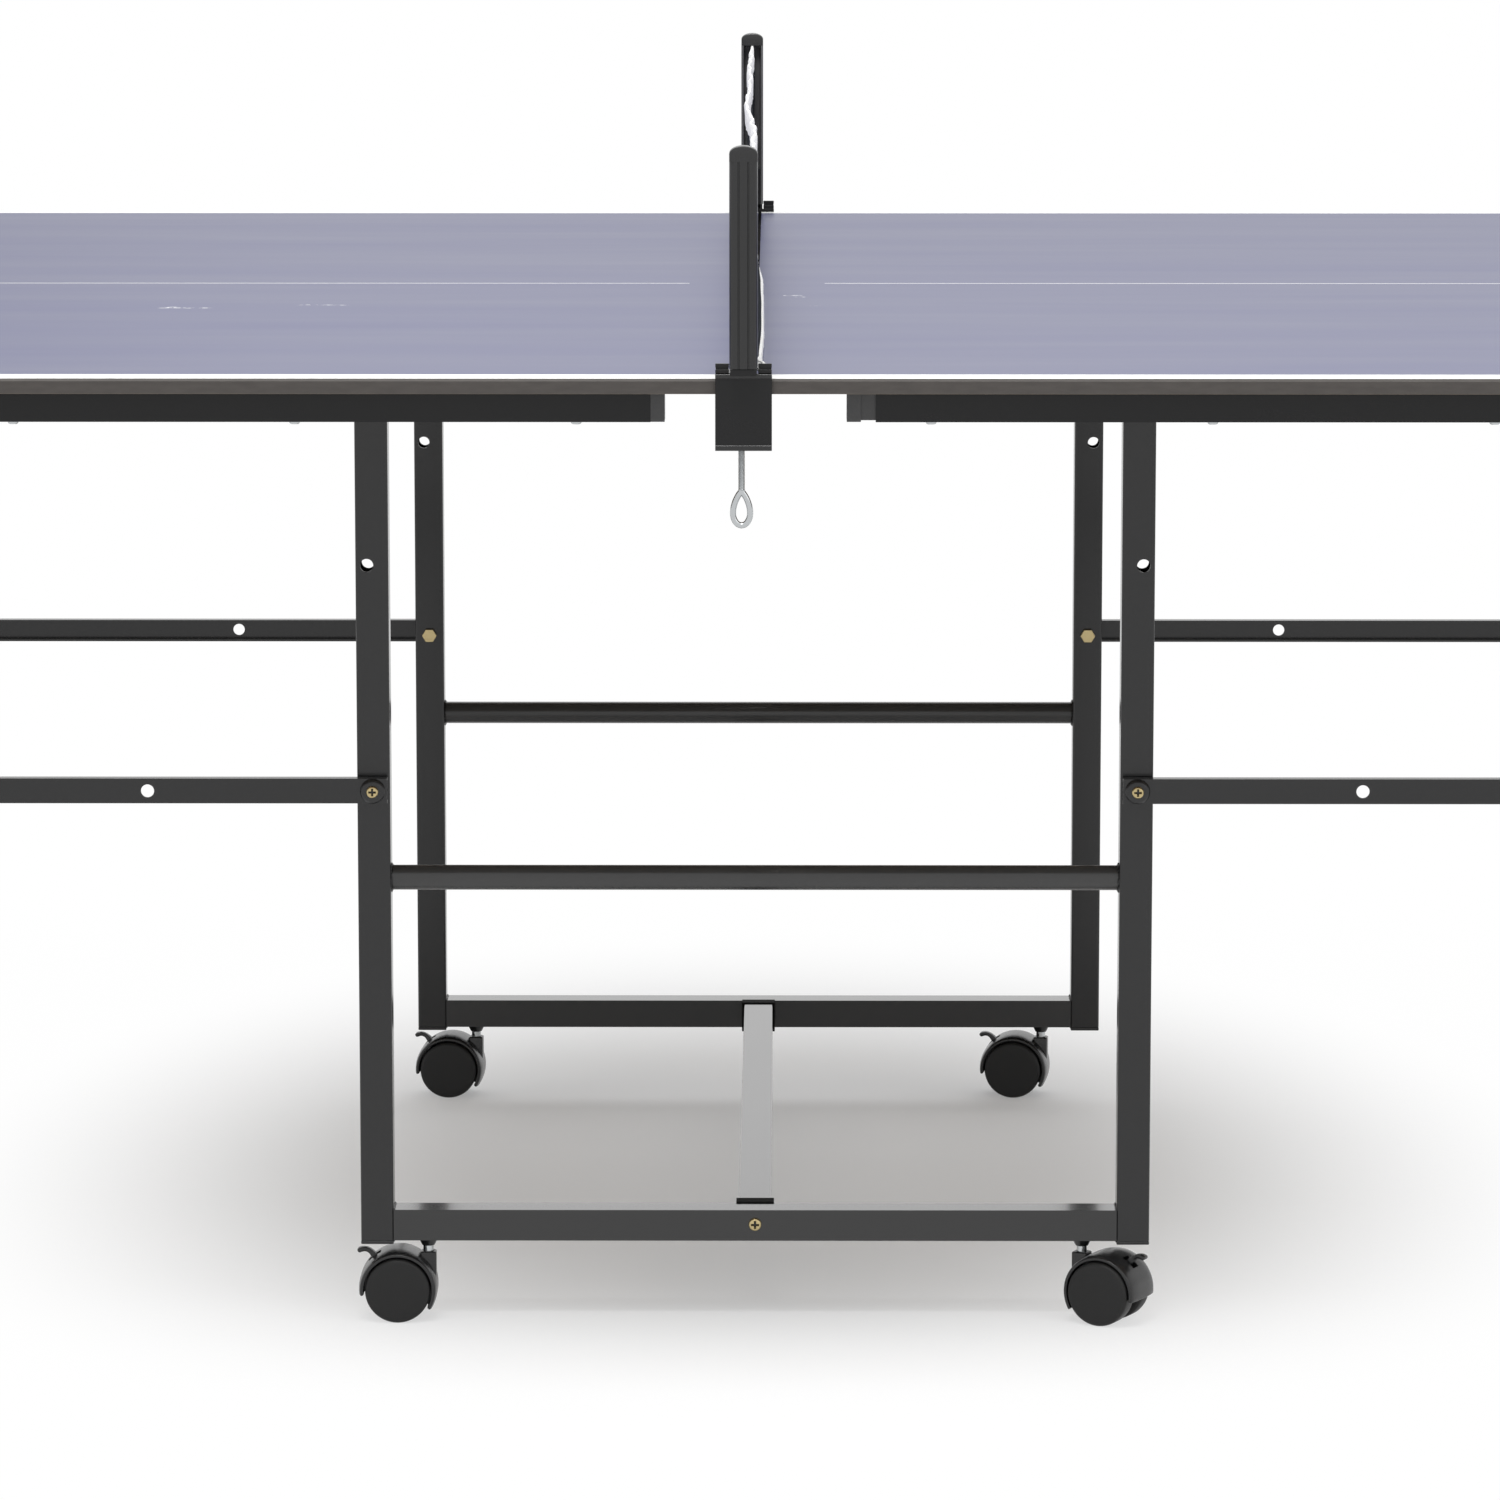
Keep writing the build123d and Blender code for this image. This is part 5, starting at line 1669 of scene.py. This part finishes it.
@dataclass
class NetSet:
    """The net, its clamps, posts and eye screws, on the left half."""

    dresser: Dresser
    x: float = -0.007
    half: float = 0.762
    hem_y: float = 0.7695
    low: float = 0.7638
    top: float = 0.9125
    tape_height: float = 0.015
    tape_half: float = 0.0016
    tape_lean: float = 0.0034
    tape_sag: float = 0.0014
    foot_half: float = 0.0014
    foot_height: float = 0.008
    pitch: float = 0.0152
    rows: int = 9
    strand: float = 0.0006
    knot: float = 0.0011
    tie_off: tuple[float, float, float] = (0.0105, 0.004, 0.0045)
    tie_radius: float = 0.0009
    tie_loops: tuple[tuple[float, float, float], ...] = ((0.0042, 0.0024, 0.5), (0.003, 0.0034, -0.7))
    hem_low: float = 0.8026
    hem_radius: float = 0.0023
    axis_x: float = -0.0085
    axis_y: float = 0.7485
    screw_top: float = 0.743
    screw_radius: float = 0.0025
    thread: float = 0.0008
    thread_depth: float = 0.00042
    screw_slack: float = 0.00003
    eye_low: float = 0.651
    eye_width: float = 0.0165
    wire: float = 0.0022
    eye_height: float = 0.0265
    eye_point: float = 0.7
    sway: tuple[tuple[float, float], ...] = (
        (-0.77, 0.0), (-0.66, 0.0045), (-0.505, 0.007), (-0.343, 0.004), (-0.131, -0.001),
        (0.06, -0.0005), (0.228, 0.0013), (0.395, -0.001), (0.62, 0.001), (0.77, 0.0),
    )
    foot_sway: tuple[tuple[float, float], ...] = (
        (-0.77, 0.003), (-0.735, 0.0115), (-0.55, 0.0125), (-0.35, 0.012),
        (-0.13, 0.011), (0.12, 0.006), (0.4, 0.001), (0.77, 0.0),
    )
    belly: float = 0.003
    post_corner: float = 0.0045
    post_wall: float = 0.002
    groove_at: float = 0.0034
    groove_half: float = 0.0006
    groove_depth: float = 0.0005
    cap_arch: float = 0.0055
    plate: tuple[float, float] = (0.763, 0.766)
    plate_x: tuple[float, float] = (-0.027, 0.013)
    plate_z: tuple[float, float] = (0.708, 0.7626)
    jaw_x: tuple[float, float] = (-0.0269, -0.0035)
    jaw_reach: float = 0.028
    jaw_top: tuple[float, float] = (0.7602, 0.76295)
    jaw_low: tuple[float, float] = (0.7081, 0.711)
    ear: float = 0.0097
    ear_z: tuple[tuple[float, float], ...] = ((0.7628, 0.7656), (0.7669, 0.7699))
    ear_root: float = 0.7695
    tongue_half: float = 0.0077
    tongue_out: float = 0.7752
    tongue_z: tuple[float, float] = (0.7622, 0.8)
    collar_half: float = 0.0094
    collar_out: float = 0.7766
    hem_out: float = 0.7667
    hem_z: tuple[tuple[float, float], ...] = ((0.7082, 0.712), (0.7594, 0.7624))
    collar_z: tuple[float, float] = (0.7621, 0.7668)
    boss_radius: float = 0.006
    boss_height: float = 0.005
    screw_fit: float = 0.00008
    bend: float = 0.0028

    def make(self) -> None:
        """Dresses the clamps and posts, and hangs the net."""
        dress = self.dresser
        clamps = shaped("net_clamps_bent", self.clamps)
        dress.stand_in(dress.rounded(clamps, self.bend, 4, "WEIGHT"), "net_clamps", Kit.SATIN_STEEL)
        self.fold_highlights()
        self.posts()
        for row in ROWS:
            dress.soften(f"{row}_clamp_pad", Kit.RUBBER, 0.6 * MM)
            self.eye_screw(row)
        self.hang()

    @staticmethod
    def drift(points: Sequence[tuple[float, float]], y: float) -> float:
        """How far an edge of the net stands off its straight line.

        Args:
            points: Places across the table, with the sideways distance at each.
            y: Place across the table.

        Returns:
            The sideways distance, on a smooth curve through the points.
        """
        for (y0, x0), (y1, x1) in zip(points, points[1:]):
            if y <= y1:
                t = max(0.0, (y - y0) / (y1 - y0))
                return x0 + (x1 - x0) * t * t * (3 - 2 * t)
        return points[-1][1]

    def spot(self, y: float, z: float) -> Vector:
        """A point of the slack net.

        Args:
            y: Place across the table.
            z: Height.

        Returns:
            The point.
        """
        down = (self.top - z) / (self.top - self.low)
        held = max(0.0, 1.0 - (abs(y) / self.half) ** 6)
        belly = self.belly * held * math.sin(math.pi * down) * math.cos(2.6 * (y + 0.35))
        sway = self.drift(self.sway, y) * (1.0 - down) + self.drift(self.foot_sway, y) * down**3
        return Vector((self.x + sway + belly, y, z))

    def clamps(self, work: bmesh.types.BMesh) -> None:
        """Fills a bmesh with both clamps: bent plate, jaws, ears, tongue and nut boss.

        Args:
            work: Takes the faces.
        """
        (near, out), (left, right), high = self.plate, self.plate_x, self.plate_z[1]
        # A hair's breadth keeps the faces of joined blocks out of one plane
        hair = 0.1 * MM
        deep = near + 2 * hair
        jaw = (deep - self.jaw_reach, deep)
        rows = [(self.plate_x, self.plate, self.plate_z), (self.jaw_x, jaw, self.jaw_top)]
        for half, spans, end in (
            (self.tongue_half, self.tongue_z, self.tongue_out),
            (self.collar_half, self.collar_z, self.collar_out),
        ):
            rows.append(((self.x - half, self.x + half), (near + hair, end), spans))
        for ear in ((left + hair, left + self.ear), (right - self.ear, right - hair)):
            rows += [(ear, (deep, out - 8 * hair), span) for span in self.ear_z]
            root = (ear[0] + 2 * hair, ear[1] - 2 * hair)
            rows.append((root, (near + 3 * hair, near + 10 * hair), (high - 10 * hair, self.ear_root)))
        for sy in ROWS.values():
            blocks(work, [(x, on_row(sy, *y), z) for x, y, z in rows])
            self.screw_jaw(work, sy, jaw)
        weight = work.edges.layers.float.new("bevel_weight_edge")
        for edge in work.edges:
            ends = [vert.co for vert in edge.verts]
            bent = all(abs(abs(end.y) - out) < 1e-6 for end in ends)
            level = abs(ends[0].z - ends[1].z) < 1e-6
            sharp = edge.is_manifold and edge.calc_face_angle() > math.radians(40)
            edge[weight] = (1.0 if bent and level else 0.16) if sharp else 0.0

    def fold_highlights(self) -> None:
        """Makes the folded edges along the top and bottom of the clamps' plates, in a lighter, glossier paint
        than the plates: real folds with a painted highlight along the bends.
        """
        rows = []
        for sy in ROWS.values():
            depth = on_row(sy, self.plate[1] - 0.4 * MM, self.hem_out)
            rows += [(self.plate_x, depth, span) for span in self.hem_z]
        piece = shaped("net_clamp_folds", lambda work: blocks(work, rows))
        self.dresser.rounded(piece, 0.35 * MM, 2, "ANGLE")
        # Gloss black, lighter than the plates' satin paint: painted highlight on the folds
        self.dresser.lay(piece, Kit.BLACK_STEEL, "left_half", "black_steel", "net_clamps")

    def screw_jaw(self, work: bmesh.types.BMesh, sy: int, depth: tuple[float, float]) -> None:
        """Adds a lower jaw with its nut boss, bored for the eye screw.

        Args:
            work: Takes the faces.
            sy: The side of the table that the jaw is on.
            depth: How far from the table's middle the jaw starts and ends.
        """
        steps = 28
        bore = self.screw_radius + self.screw_fit
        centre = Vector((self.axis_x, sy * self.axis_y, 0.0))
        low, high = self.jaw_low
        outer = [(x, sy * y) for x in self.jaw_x for y in (depth if x == self.jaw_x[0] else depth[::-1])]
        hole = [(centre.x + bore * math.cos(a), centre.y + bore * math.sin(a)) for a in circle(steps)]
        loops = []
        for z in (low, high):
            rings = [[work.verts.new((x, y, z)) for x, y in loop] for loop in (outer, hole)]
            edges = [work.edges.new(pair) for ring in rings for pair in zip(ring, ring[1:] + ring[:1])]
            bmesh.ops.triangle_fill(work, use_beauty=True, edges=edges)
            loops.append(rings)
        for one, two in zip(*loops):
            band(work, one, two)
        top = self.boss_height
        rim = self.boss_radius
        profile = [(bore, 0.0), (rim, 0.0), (rim, 0.85 * top), (0.88 * rim, top), (bore, top), (bore, 0.0)]
        lathe(work, profile, Matrix.Translation(centre + Vector((0.0, 0.0, high + 0.00005))), steps)

    def post_outline(self, half: float, deep: float) -> list[tuple[float, float]]:
        """Plan of a net post: a round-cornered channel with two grooves in its face.

        Args:
            half: Half its width.
            deep: Its depth, from the open side to the face.

        Returns:
            The closed outline, as distances across and outwards.
        """
        r, wall, at, wide = self.post_corner, self.post_wall, self.groove_at, self.groove_half
        arc = [math.radians(a) for a in range(0, 91, 15)]
        skin = [(half, 0.0)] + [(half - r + r * math.cos(a), deep - r + r * math.sin(a)) for a in arc]
        low = deep - self.groove_depth
        skin += [(at + wide, deep), (at + wide / 2, low), (at - wide / 2, low), (at - wide, deep)]
        r_in = r - wall
        bore = [(half - wall, 0.0)]
        bore += [(half - r + r_in * math.cos(a), deep - r + r_in * math.sin(a)) for a in arc]
        return skin + mirrored(skin) + [(-u, v) for u, v in bore] + list(reversed(bore))

    def posts(self) -> None:
        """Makes the channel posts, with painted light on their inner faces, and their arched caps."""
        low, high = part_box("net_posts")
        cap_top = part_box("net_post_caps")[1].z
        half = (high.x - low.x) / 2
        inner = self.half + 0.0015
        deep = high.y - inner
        plan = self.post_outline(half, deep)

        def channels(work: bmesh.types.BMesh) -> None:
            """Fills a bmesh with both channels.

            Args:
                work: Takes the faces.
            """
            for sy in ROWS.values():
                ring = [Vector((u, sy * v, 0.0)) for u, v in plan]
                path = [Vector((self.x, sy * inner, z)) for z in (low.z, high.z)]
                tube(work, path, lambda _, ring=ring: ring)

        def caps(work: bmesh.types.BMesh) -> None:
            """Fills a bmesh with both caps.

            Args:
                work: Takes the faces.
            """
            rise = cap_top - high.z
            side = rise - self.cap_arch
            arc = [math.radians(a) for a in range(0, 181, 12)]
            arch = [(-half, 0.0), (half, 0.0)]
            arch += [(half * math.cos(a), side + self.cap_arch * math.sin(a)) for a in arc]
            # Place through the cap's depth and how far its section is drawn in there, in mm
            steps = ((0.0, 0.9), (0.35, 0.3), (1.0, 0.0), (13.0, 0.0), (13.65, 0.3), (14.0, 0.9))

            def ring(k: int) -> list[Vector]:
                """The arch at one step, drawn in by its inset."""
                inset = steps[k][1] * MM
                return [Vector((u * (1 - inset / half), 0.0, w * (1 - inset / rise))) for u, w in arch]

            for sy in ROWS.values():
                depths = [inner + deep * v / steps[-1][0] for v, _ in steps]
                tube(work, [Vector((self.x, sy * y, high.z)) for y in depths], ring)

        for node, build, finish in (
            ("net_posts", channels, Kit.BLACK_STEEL),
            ("net_post_caps", caps, Kit.BLACK_PLASTIC),
        ):
            piece = shaped(f"{node}_shaped", build, 32.0)
            self.dresser.stand_in(piece, node, finish)
            # The channels' inner faces take a lighter grey copy of the black paint, as painted light
            if build is channels:
                piece.data.materials.append(Kit.CHANNEL_PAINTED_LIGHT.material)
                for face in piece.data.polygons:
                    spot, turned = face.center, face.normal
                    hollow = abs(spot.x - self.x) < half - self.post_wall / 2
                    hollow = hollow and abs(spot.y) < high.y - self.post_wall / 2
                    inward = turned.y * spot.y < -0.5 * abs(spot.y)
                    face.material_index = int((hollow or inward) and abs(turned.z) < 0.5)

    def hang(self) -> None:
        """Makes the knotted net, its white tape and its hems."""
        columns = round(2 * self.half / self.pitch)
        mesh_top = self.top - self.tape_height + 0.001
        across = columns + 1
        heights = spread(self.low, mesh_top, self.rows)
        grid = [self.spot(y, z) for z in heights for y in spread(-self.half, self.half, columns)]
        edges = [(r * across + c, r * across + c + 1) for r in range(self.rows + 1) for c in range(columns)]
        edges += [(r * across + c, (r + 1) * across + c) for r in range(self.rows) for c in range(across)]
        mesh = bpy.data.meshes.new("net_grid")
        mesh.from_pydata(grid, edges, [])
        net = piece_from("net_mesh", mesh)
        values = {"Strand": self.strand, "Knot": self.knot, "Finish": Kit.NET_CORD.material}
        strand_graph().apply(net, values)
        self.dresser.put(net, "left_half", "net_cloth", "net")
        tape = shaped("net_tape", self.tape, 30.0)
        self.dresser.lay(tape, Kit.TAPE, "left_half", "net_cloth")
        hems = shaped("net_hems", self.hems)
        self.dresser.lay(hems, Kit.NET_CORD, "left_half", "net_cloth")

    def tape(self, work: bmesh.types.BMesh) -> None:
        """Fills a bmesh with the folded tape, and with the binding along the net's foot.

        Args:
            work: Takes the faces.
        """
        draw = random.Random(11)
        steps = 150
        wrinkle = [draw.uniform(-1.0, 1.0) for _ in range(steps + 1)]
        soft = [sum(wrinkle[max(0, k - 2) : k + 3]) / 5 for k in range(steps + 1)]
        span = spread(-self.half, self.half, steps)
        tall, thick = self.tape_height, self.tape_half
        path = [self.spot(y, self.top - tall) for y in span]

        def folded(k: int) -> list[Vector]:
            """The offsets of the section at one step of the path.

            Args:
                k: Number of the step.

            Returns:
                The offsets, in turning order.
            """
            ease = min(1.0, 12.0 * min(k, steps - k) / steps)
            lean = self.tape_lean * soft[k] * ease
            sag = self.tape_sag * abs(soft[(k * 7) % steps]) * ease
            fat = thick * (1.0 + 0.6 * soft[(k * 3) % steps] * ease)
            right = [(fat, 0.0), (fat, 0.45 * tall), (0.9 * fat, 0.85 * tall), (0.45 * fat, 0.985 * tall)]
            both = right + mirrored(right)
            return [Vector((a + lean * b / tall, 0.0, b - sag * b / tall)) for a, b in both]

        tube(work, path, folded)
        foot = [self.spot(y, self.low) for y in span]

        def bound(k: int) -> list[Vector]:
            """The offsets of the section at one step of the path.

            Args:
                k: Number of the step.

            Returns:
                The offsets, in turning order.
            """
            fat = self.foot_half * (1.0 + 0.4 * soft[(k * 5) % steps])
            high = self.foot_height
            right = [(0.6 * fat, 0.0), (fat, 0.2 * high), (fat, 0.8 * high), (0.6 * fat, high)]
            return [Vector((a, 0.0, b)) for a, b in right + mirrored(right)]

        tube(work, foot, bound)
        self.tie(work)

    def tie(self, work: bmesh.types.BMesh) -> None:
        """Adds the knot that holds the net's foot beside the near clamp.

        Args:
            work: Takes the faces.
        """
        centre = Vector((self.x, -self.half, self.low)) + Vector(self.tie_off)
        turns = circle(16)
        cross = [polar(self.tie_radius, a) for a in turns[::3]]
        for wide, tall, lean in self.tie_loops:
            slopes = [(wide * math.cos(a), lean * wide * math.sin(a), tall * math.sin(a)) for a in turns]

            def ring(k: int, wide: float = wide, tall: float = tall) -> list[Vector]:
                """The cord's section at one step of a loop."""
                out = Vector((tall * math.cos(turns[k]), 0.0, wide * math.sin(turns[k]))).normalized()
                return [out * c.x + Vector((0.0, c.y, 0.0)) for c in cross]

            tube(work, [centre + Vector(slope) for slope in slopes], ring, closed=True)

    def hems(self, work: bmesh.types.BMesh) -> None:
        """Fills a bmesh with the rolled hem inside each net post.

        Args:
            work: Takes the faces.
        """
        steps, thin = 24, 0.5 * MM
        turn = circle(10)
        radii = [self.hem_radius * (0.94 + 0.06 * math.sin(5.0 * k)) for k in range(steps + 1)]
        low, high = self.hem_low + 1.0 * MM, self.top - 4.0 * MM
        slab = [Vector((a, 0.0, b)) for a, b in ((-thin, low), (thin, low), (thin, high), (-thin, high))]
        for sy in ROWS.values():
            heights = spread(self.hem_low, self.top - 3.0 * MM, steps)
            path = [Vector((self.x, sy * self.hem_y, z)) for z in heights]
            tube(work, path, lambda k: [polar(radii[k], a) for a in turn])
            flap = spread(sy * (self.half - 0.4 * MM), sy * (self.hem_y - 1.5 * MM), 2)
            tube(work, [Vector((self.x, y, 0.0)) for y in flap], lambda _: slab)

    def eye_screw(self, row: str) -> None:
        """Makes one clamp screw with its rolled thread and wire eye.

        Args:
            row: The side of the table that the screw is on.
        """
        y = ROWS[row] * self.axis_y
        centre = Vector((self.axis_x, y, 0.0))
        reach = self.eye_width / 2 - self.wire
        tall = (self.eye_height - self.wire) / 2
        middle = self.eye_low + self.wire + tall
        turn = circle(56, 0.5)
        drop = [math.sin(a) * math.sin(a / 2) ** self.eye_point for a in turn]
        widest = max(drop)
        line = [
            centre + Vector((reach * out / widest, 0.0, middle + tall * math.cos(a)))
            for a, out in zip(turn, drop)
        ]

        def wire(k: int) -> list[Vector]:
            """The offsets of the section at one step of the path.

            Args:
                k: Number of the step.

            Returns:
                The offsets, in turning order.
            """
            ahead = line[min(k + 1, len(line) - 1)] - line[max(k - 1, 0)]
            side = Vector((0.0, 1.0, 0.0))
            out = ahead.cross(side).normalized()
            return [self.wire * (out * math.cos(a) + side * math.sin(a)) for a in circle(14)]

        def build(work: bmesh.types.BMesh) -> None:
            """Fills a bmesh with the shank and the eye."""
            self.thread_on(work, centre, middle + tall - self.wire)
            tube(work, line, wire)

        piece = shaped(f"{row}_eye_screw", build, 60.0)
        self.dresser.stand_in(piece, f"{row}_clamp_screw", Kit.BRIGHT_ZINC)

    def thread_on(self, work: bmesh.types.BMesh, centre: Vector, low: float) -> None:
        """Adds a threaded shank from a height up to the screw's top.

        Args:
            work: Takes the faces.
            centre: The screw's axis.
            low: Where the shank starts.
        """
        per_turn, around = 6, 14
        count = round((self.screw_top - low) / self.thread * per_turn)
        path = [centre + Vector((0.0, 0.0, z)) for z in spread(low, self.screw_top, count)]

        def ring(k: int) -> list[Vector]:
            """The offsets of the section at one step of the path.

            Args:
                k: Number of the step.

            Returns:
                The offsets, in turning order.
            """
            plain = k < 4 * per_turn or k > count - per_turn
            spots = []
            for j, a in enumerate(circle(around)):
                phase = (k / per_turn - j / around) % 1.0
                depth = 0.0 if plain else self.thread_depth * abs(2.0 * phase - 1.0)
                spots.append(polar(self.screw_radius - depth - self.screw_slack, a))
            return spots

        tube(work, path, ring)


@dataclass
class Studio:
    """Camera, floor and soft light."""

    eye: Colour = (0.0186, -5.6258, 1.2489)
    lens: float = 166.25
    sensor: float = 36.0
    pitch: float = 8.821
    yaw: float = 0.248
    ambient: float = 0.8
    floor_white: float = 0.955
    floor_tint: Colour = (0.982, 0.991, 1.0)
    floor_fade: tuple[float, float] = (1.9, 3.2)
    shade_x: float = 0.62
    shade_y: float = 0.95
    shade_back: float = 0.15
    shade_lift: float = 0.79
    shade_least: float = 0.2

    def make(self) -> None:
        """Sets the camera, the floor, the world and the lamps."""
        scene = bpy.context.scene
        scene.view_settings.view_transform = "Standard"
        data = bpy.data.cameras.new("camera")
        data.lens, data.sensor_width = self.lens, self.sensor
        data.clip_end = 200.0
        camera = bpy.data.objects.new("camera", data)
        camera.location = self.eye
        camera.rotation_euler = (math.radians(90.0 - self.pitch), 0.0, math.radians(self.yaw))
        scene.collection.objects.link(camera)
        scene.camera = camera
        self.floor()
        self.world()
        self.lamp("key", (-0.4, -2.1, 4.7), 1.8, 150.0)
        self.lamp("fill", (3.4, -2.4, 3.0), 3.0, 20.0)
        self.lamp("back", (0.6, 4.2, 3.6), 3.6, 20.0)

    def floor(self) -> None:
        """Lays a pale floor that fades into the white of the world."""
        grid = {"x_segments": 1, "y_segments": 1, "size": 40.0}
        plane = shaped("floor", lambda work: bmesh.ops.create_grid(work, **grid))
        shader = Shader("pale_floor")
        cloud = shader.noise(3.0, 4.0)
        white = self.floor_white
        pale = tuple(white * c for c in self.floor_tint)
        tone = shader.mix(cloud, tuple(0.97 * c for c in pale), pale)
        shader.set({"Base Color": tone, "Roughness": 0.85, "Specular IOR Level": 0.2})
        shader.bump(shader.noise(160.0, 3.0), 0.4 * MM, 0.4)
        x, y, _ = shader.along()
        far = shader.math("SQRT", x * x + y * y).ramp(*self.floor_fade)
        wide, deep = x * (1.0 / self.shade_x), (y - self.shade_back) * (1.0 / self.shade_y)
        rim = shader.math("SQRT", wide * wide + deep * deep).ramp(0.35, 1.15)
        lit = far.either(rim * self.shade_lift + self.shade_least)
        glow = shader.node("ShaderNodeEmission", None, {"Color": (1.0, 1.0, 1.0, 1.0)})
        inputs = {0: lit * shader.seen(), 1: Value(shader, shader.surface.outputs[0]), 2: glow}
        both = shader.node("ShaderNodeMixShader", None, inputs)
        shader.feed(shader.tree.nodes["Material Output"].inputs["Surface"], both)
        plane.data.materials.append(shader.material)
        plane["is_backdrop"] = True

    def world(self) -> None:
        """Makes the world white to the eye and in reflections, and soft as light."""
        world = bpy.data.worlds.new("studio")
        world.use_nodes = True
        nodes = ShaderTree(world.node_tree)
        inputs = {"Value": nodes.seen(), "To Min": self.ambient, "To Max": 1.0}
        level = nodes.node("ShaderNodeMapRange", None, inputs)
        shade = nodes.tree.nodes["Background"]
        nodes.feed(shade.inputs["Color"], (1.0, 1.0, 1.0, 1.0))
        nodes.feed(shade.inputs["Strength"], level)
        bpy.context.scene.world = world

    def lamp(self, name: str, spot: Colour, size: float, power: float) -> None:
        """Hangs one soft lamp that points at the table.

        Args:
            name: The lamp's name.
            spot: Where it hangs.
            size: Its width.
            power: Its power in watts.
        """
        data = bpy.data.lights.new(name, "AREA")
        data.energy, data.size = power, size
        made = bpy.data.objects.new(name, data)
        made.location = spot
        aim = Vector((0.0, 0.0, 0.45)) - Vector(spot)
        made.rotation_euler = aim.to_track_quat("-Z", "Y").to_euler()
        bpy.context.scene.collection.objects.link(made)


CASTER_TURNS: dict[tuple[str, str], float] = {
    ("near", "left"): 180.0,
    ("near", "right"): -28.0,
    ("far", "left"): 176.0,
    ("far", "right"): 172.0,
}


def corners() -> list[list[float]]:
    """The lowest and highest corner of what shows, as plain lists."""
    return [list(corner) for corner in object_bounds()]


def assemblies(dresser: Dresser) -> Iterable[Any]:
    """The table's sub-assemblies, in the order in which they are dressed.

    Args:
        dresser: Puts their pieces on the bodies.

    Yields:
        Each sub-assembly.
    """
    yield WheeledFrame(dresser)
    for (row, side), turn in CASTER_TURNS.items():
        yield Caster(dresser, row, side, turn)
    for side in SIDES:
        yield TopHalf(dresser, side)
        yield EndSupport(dresser, side)
    yield NetSet(dresser)
    yield Studio()


def main() -> None:
    """Builds the table around its CAD model."""
    logging.basicConfig(level=logging.INFO, format="%(name)s: %(message)s")
    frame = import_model()
    for part in assemblies(Dresser(frame)):
        part.make()
        LOG.info("made %s", type(part).__name__)


if __name__ == "__main__":
    main()
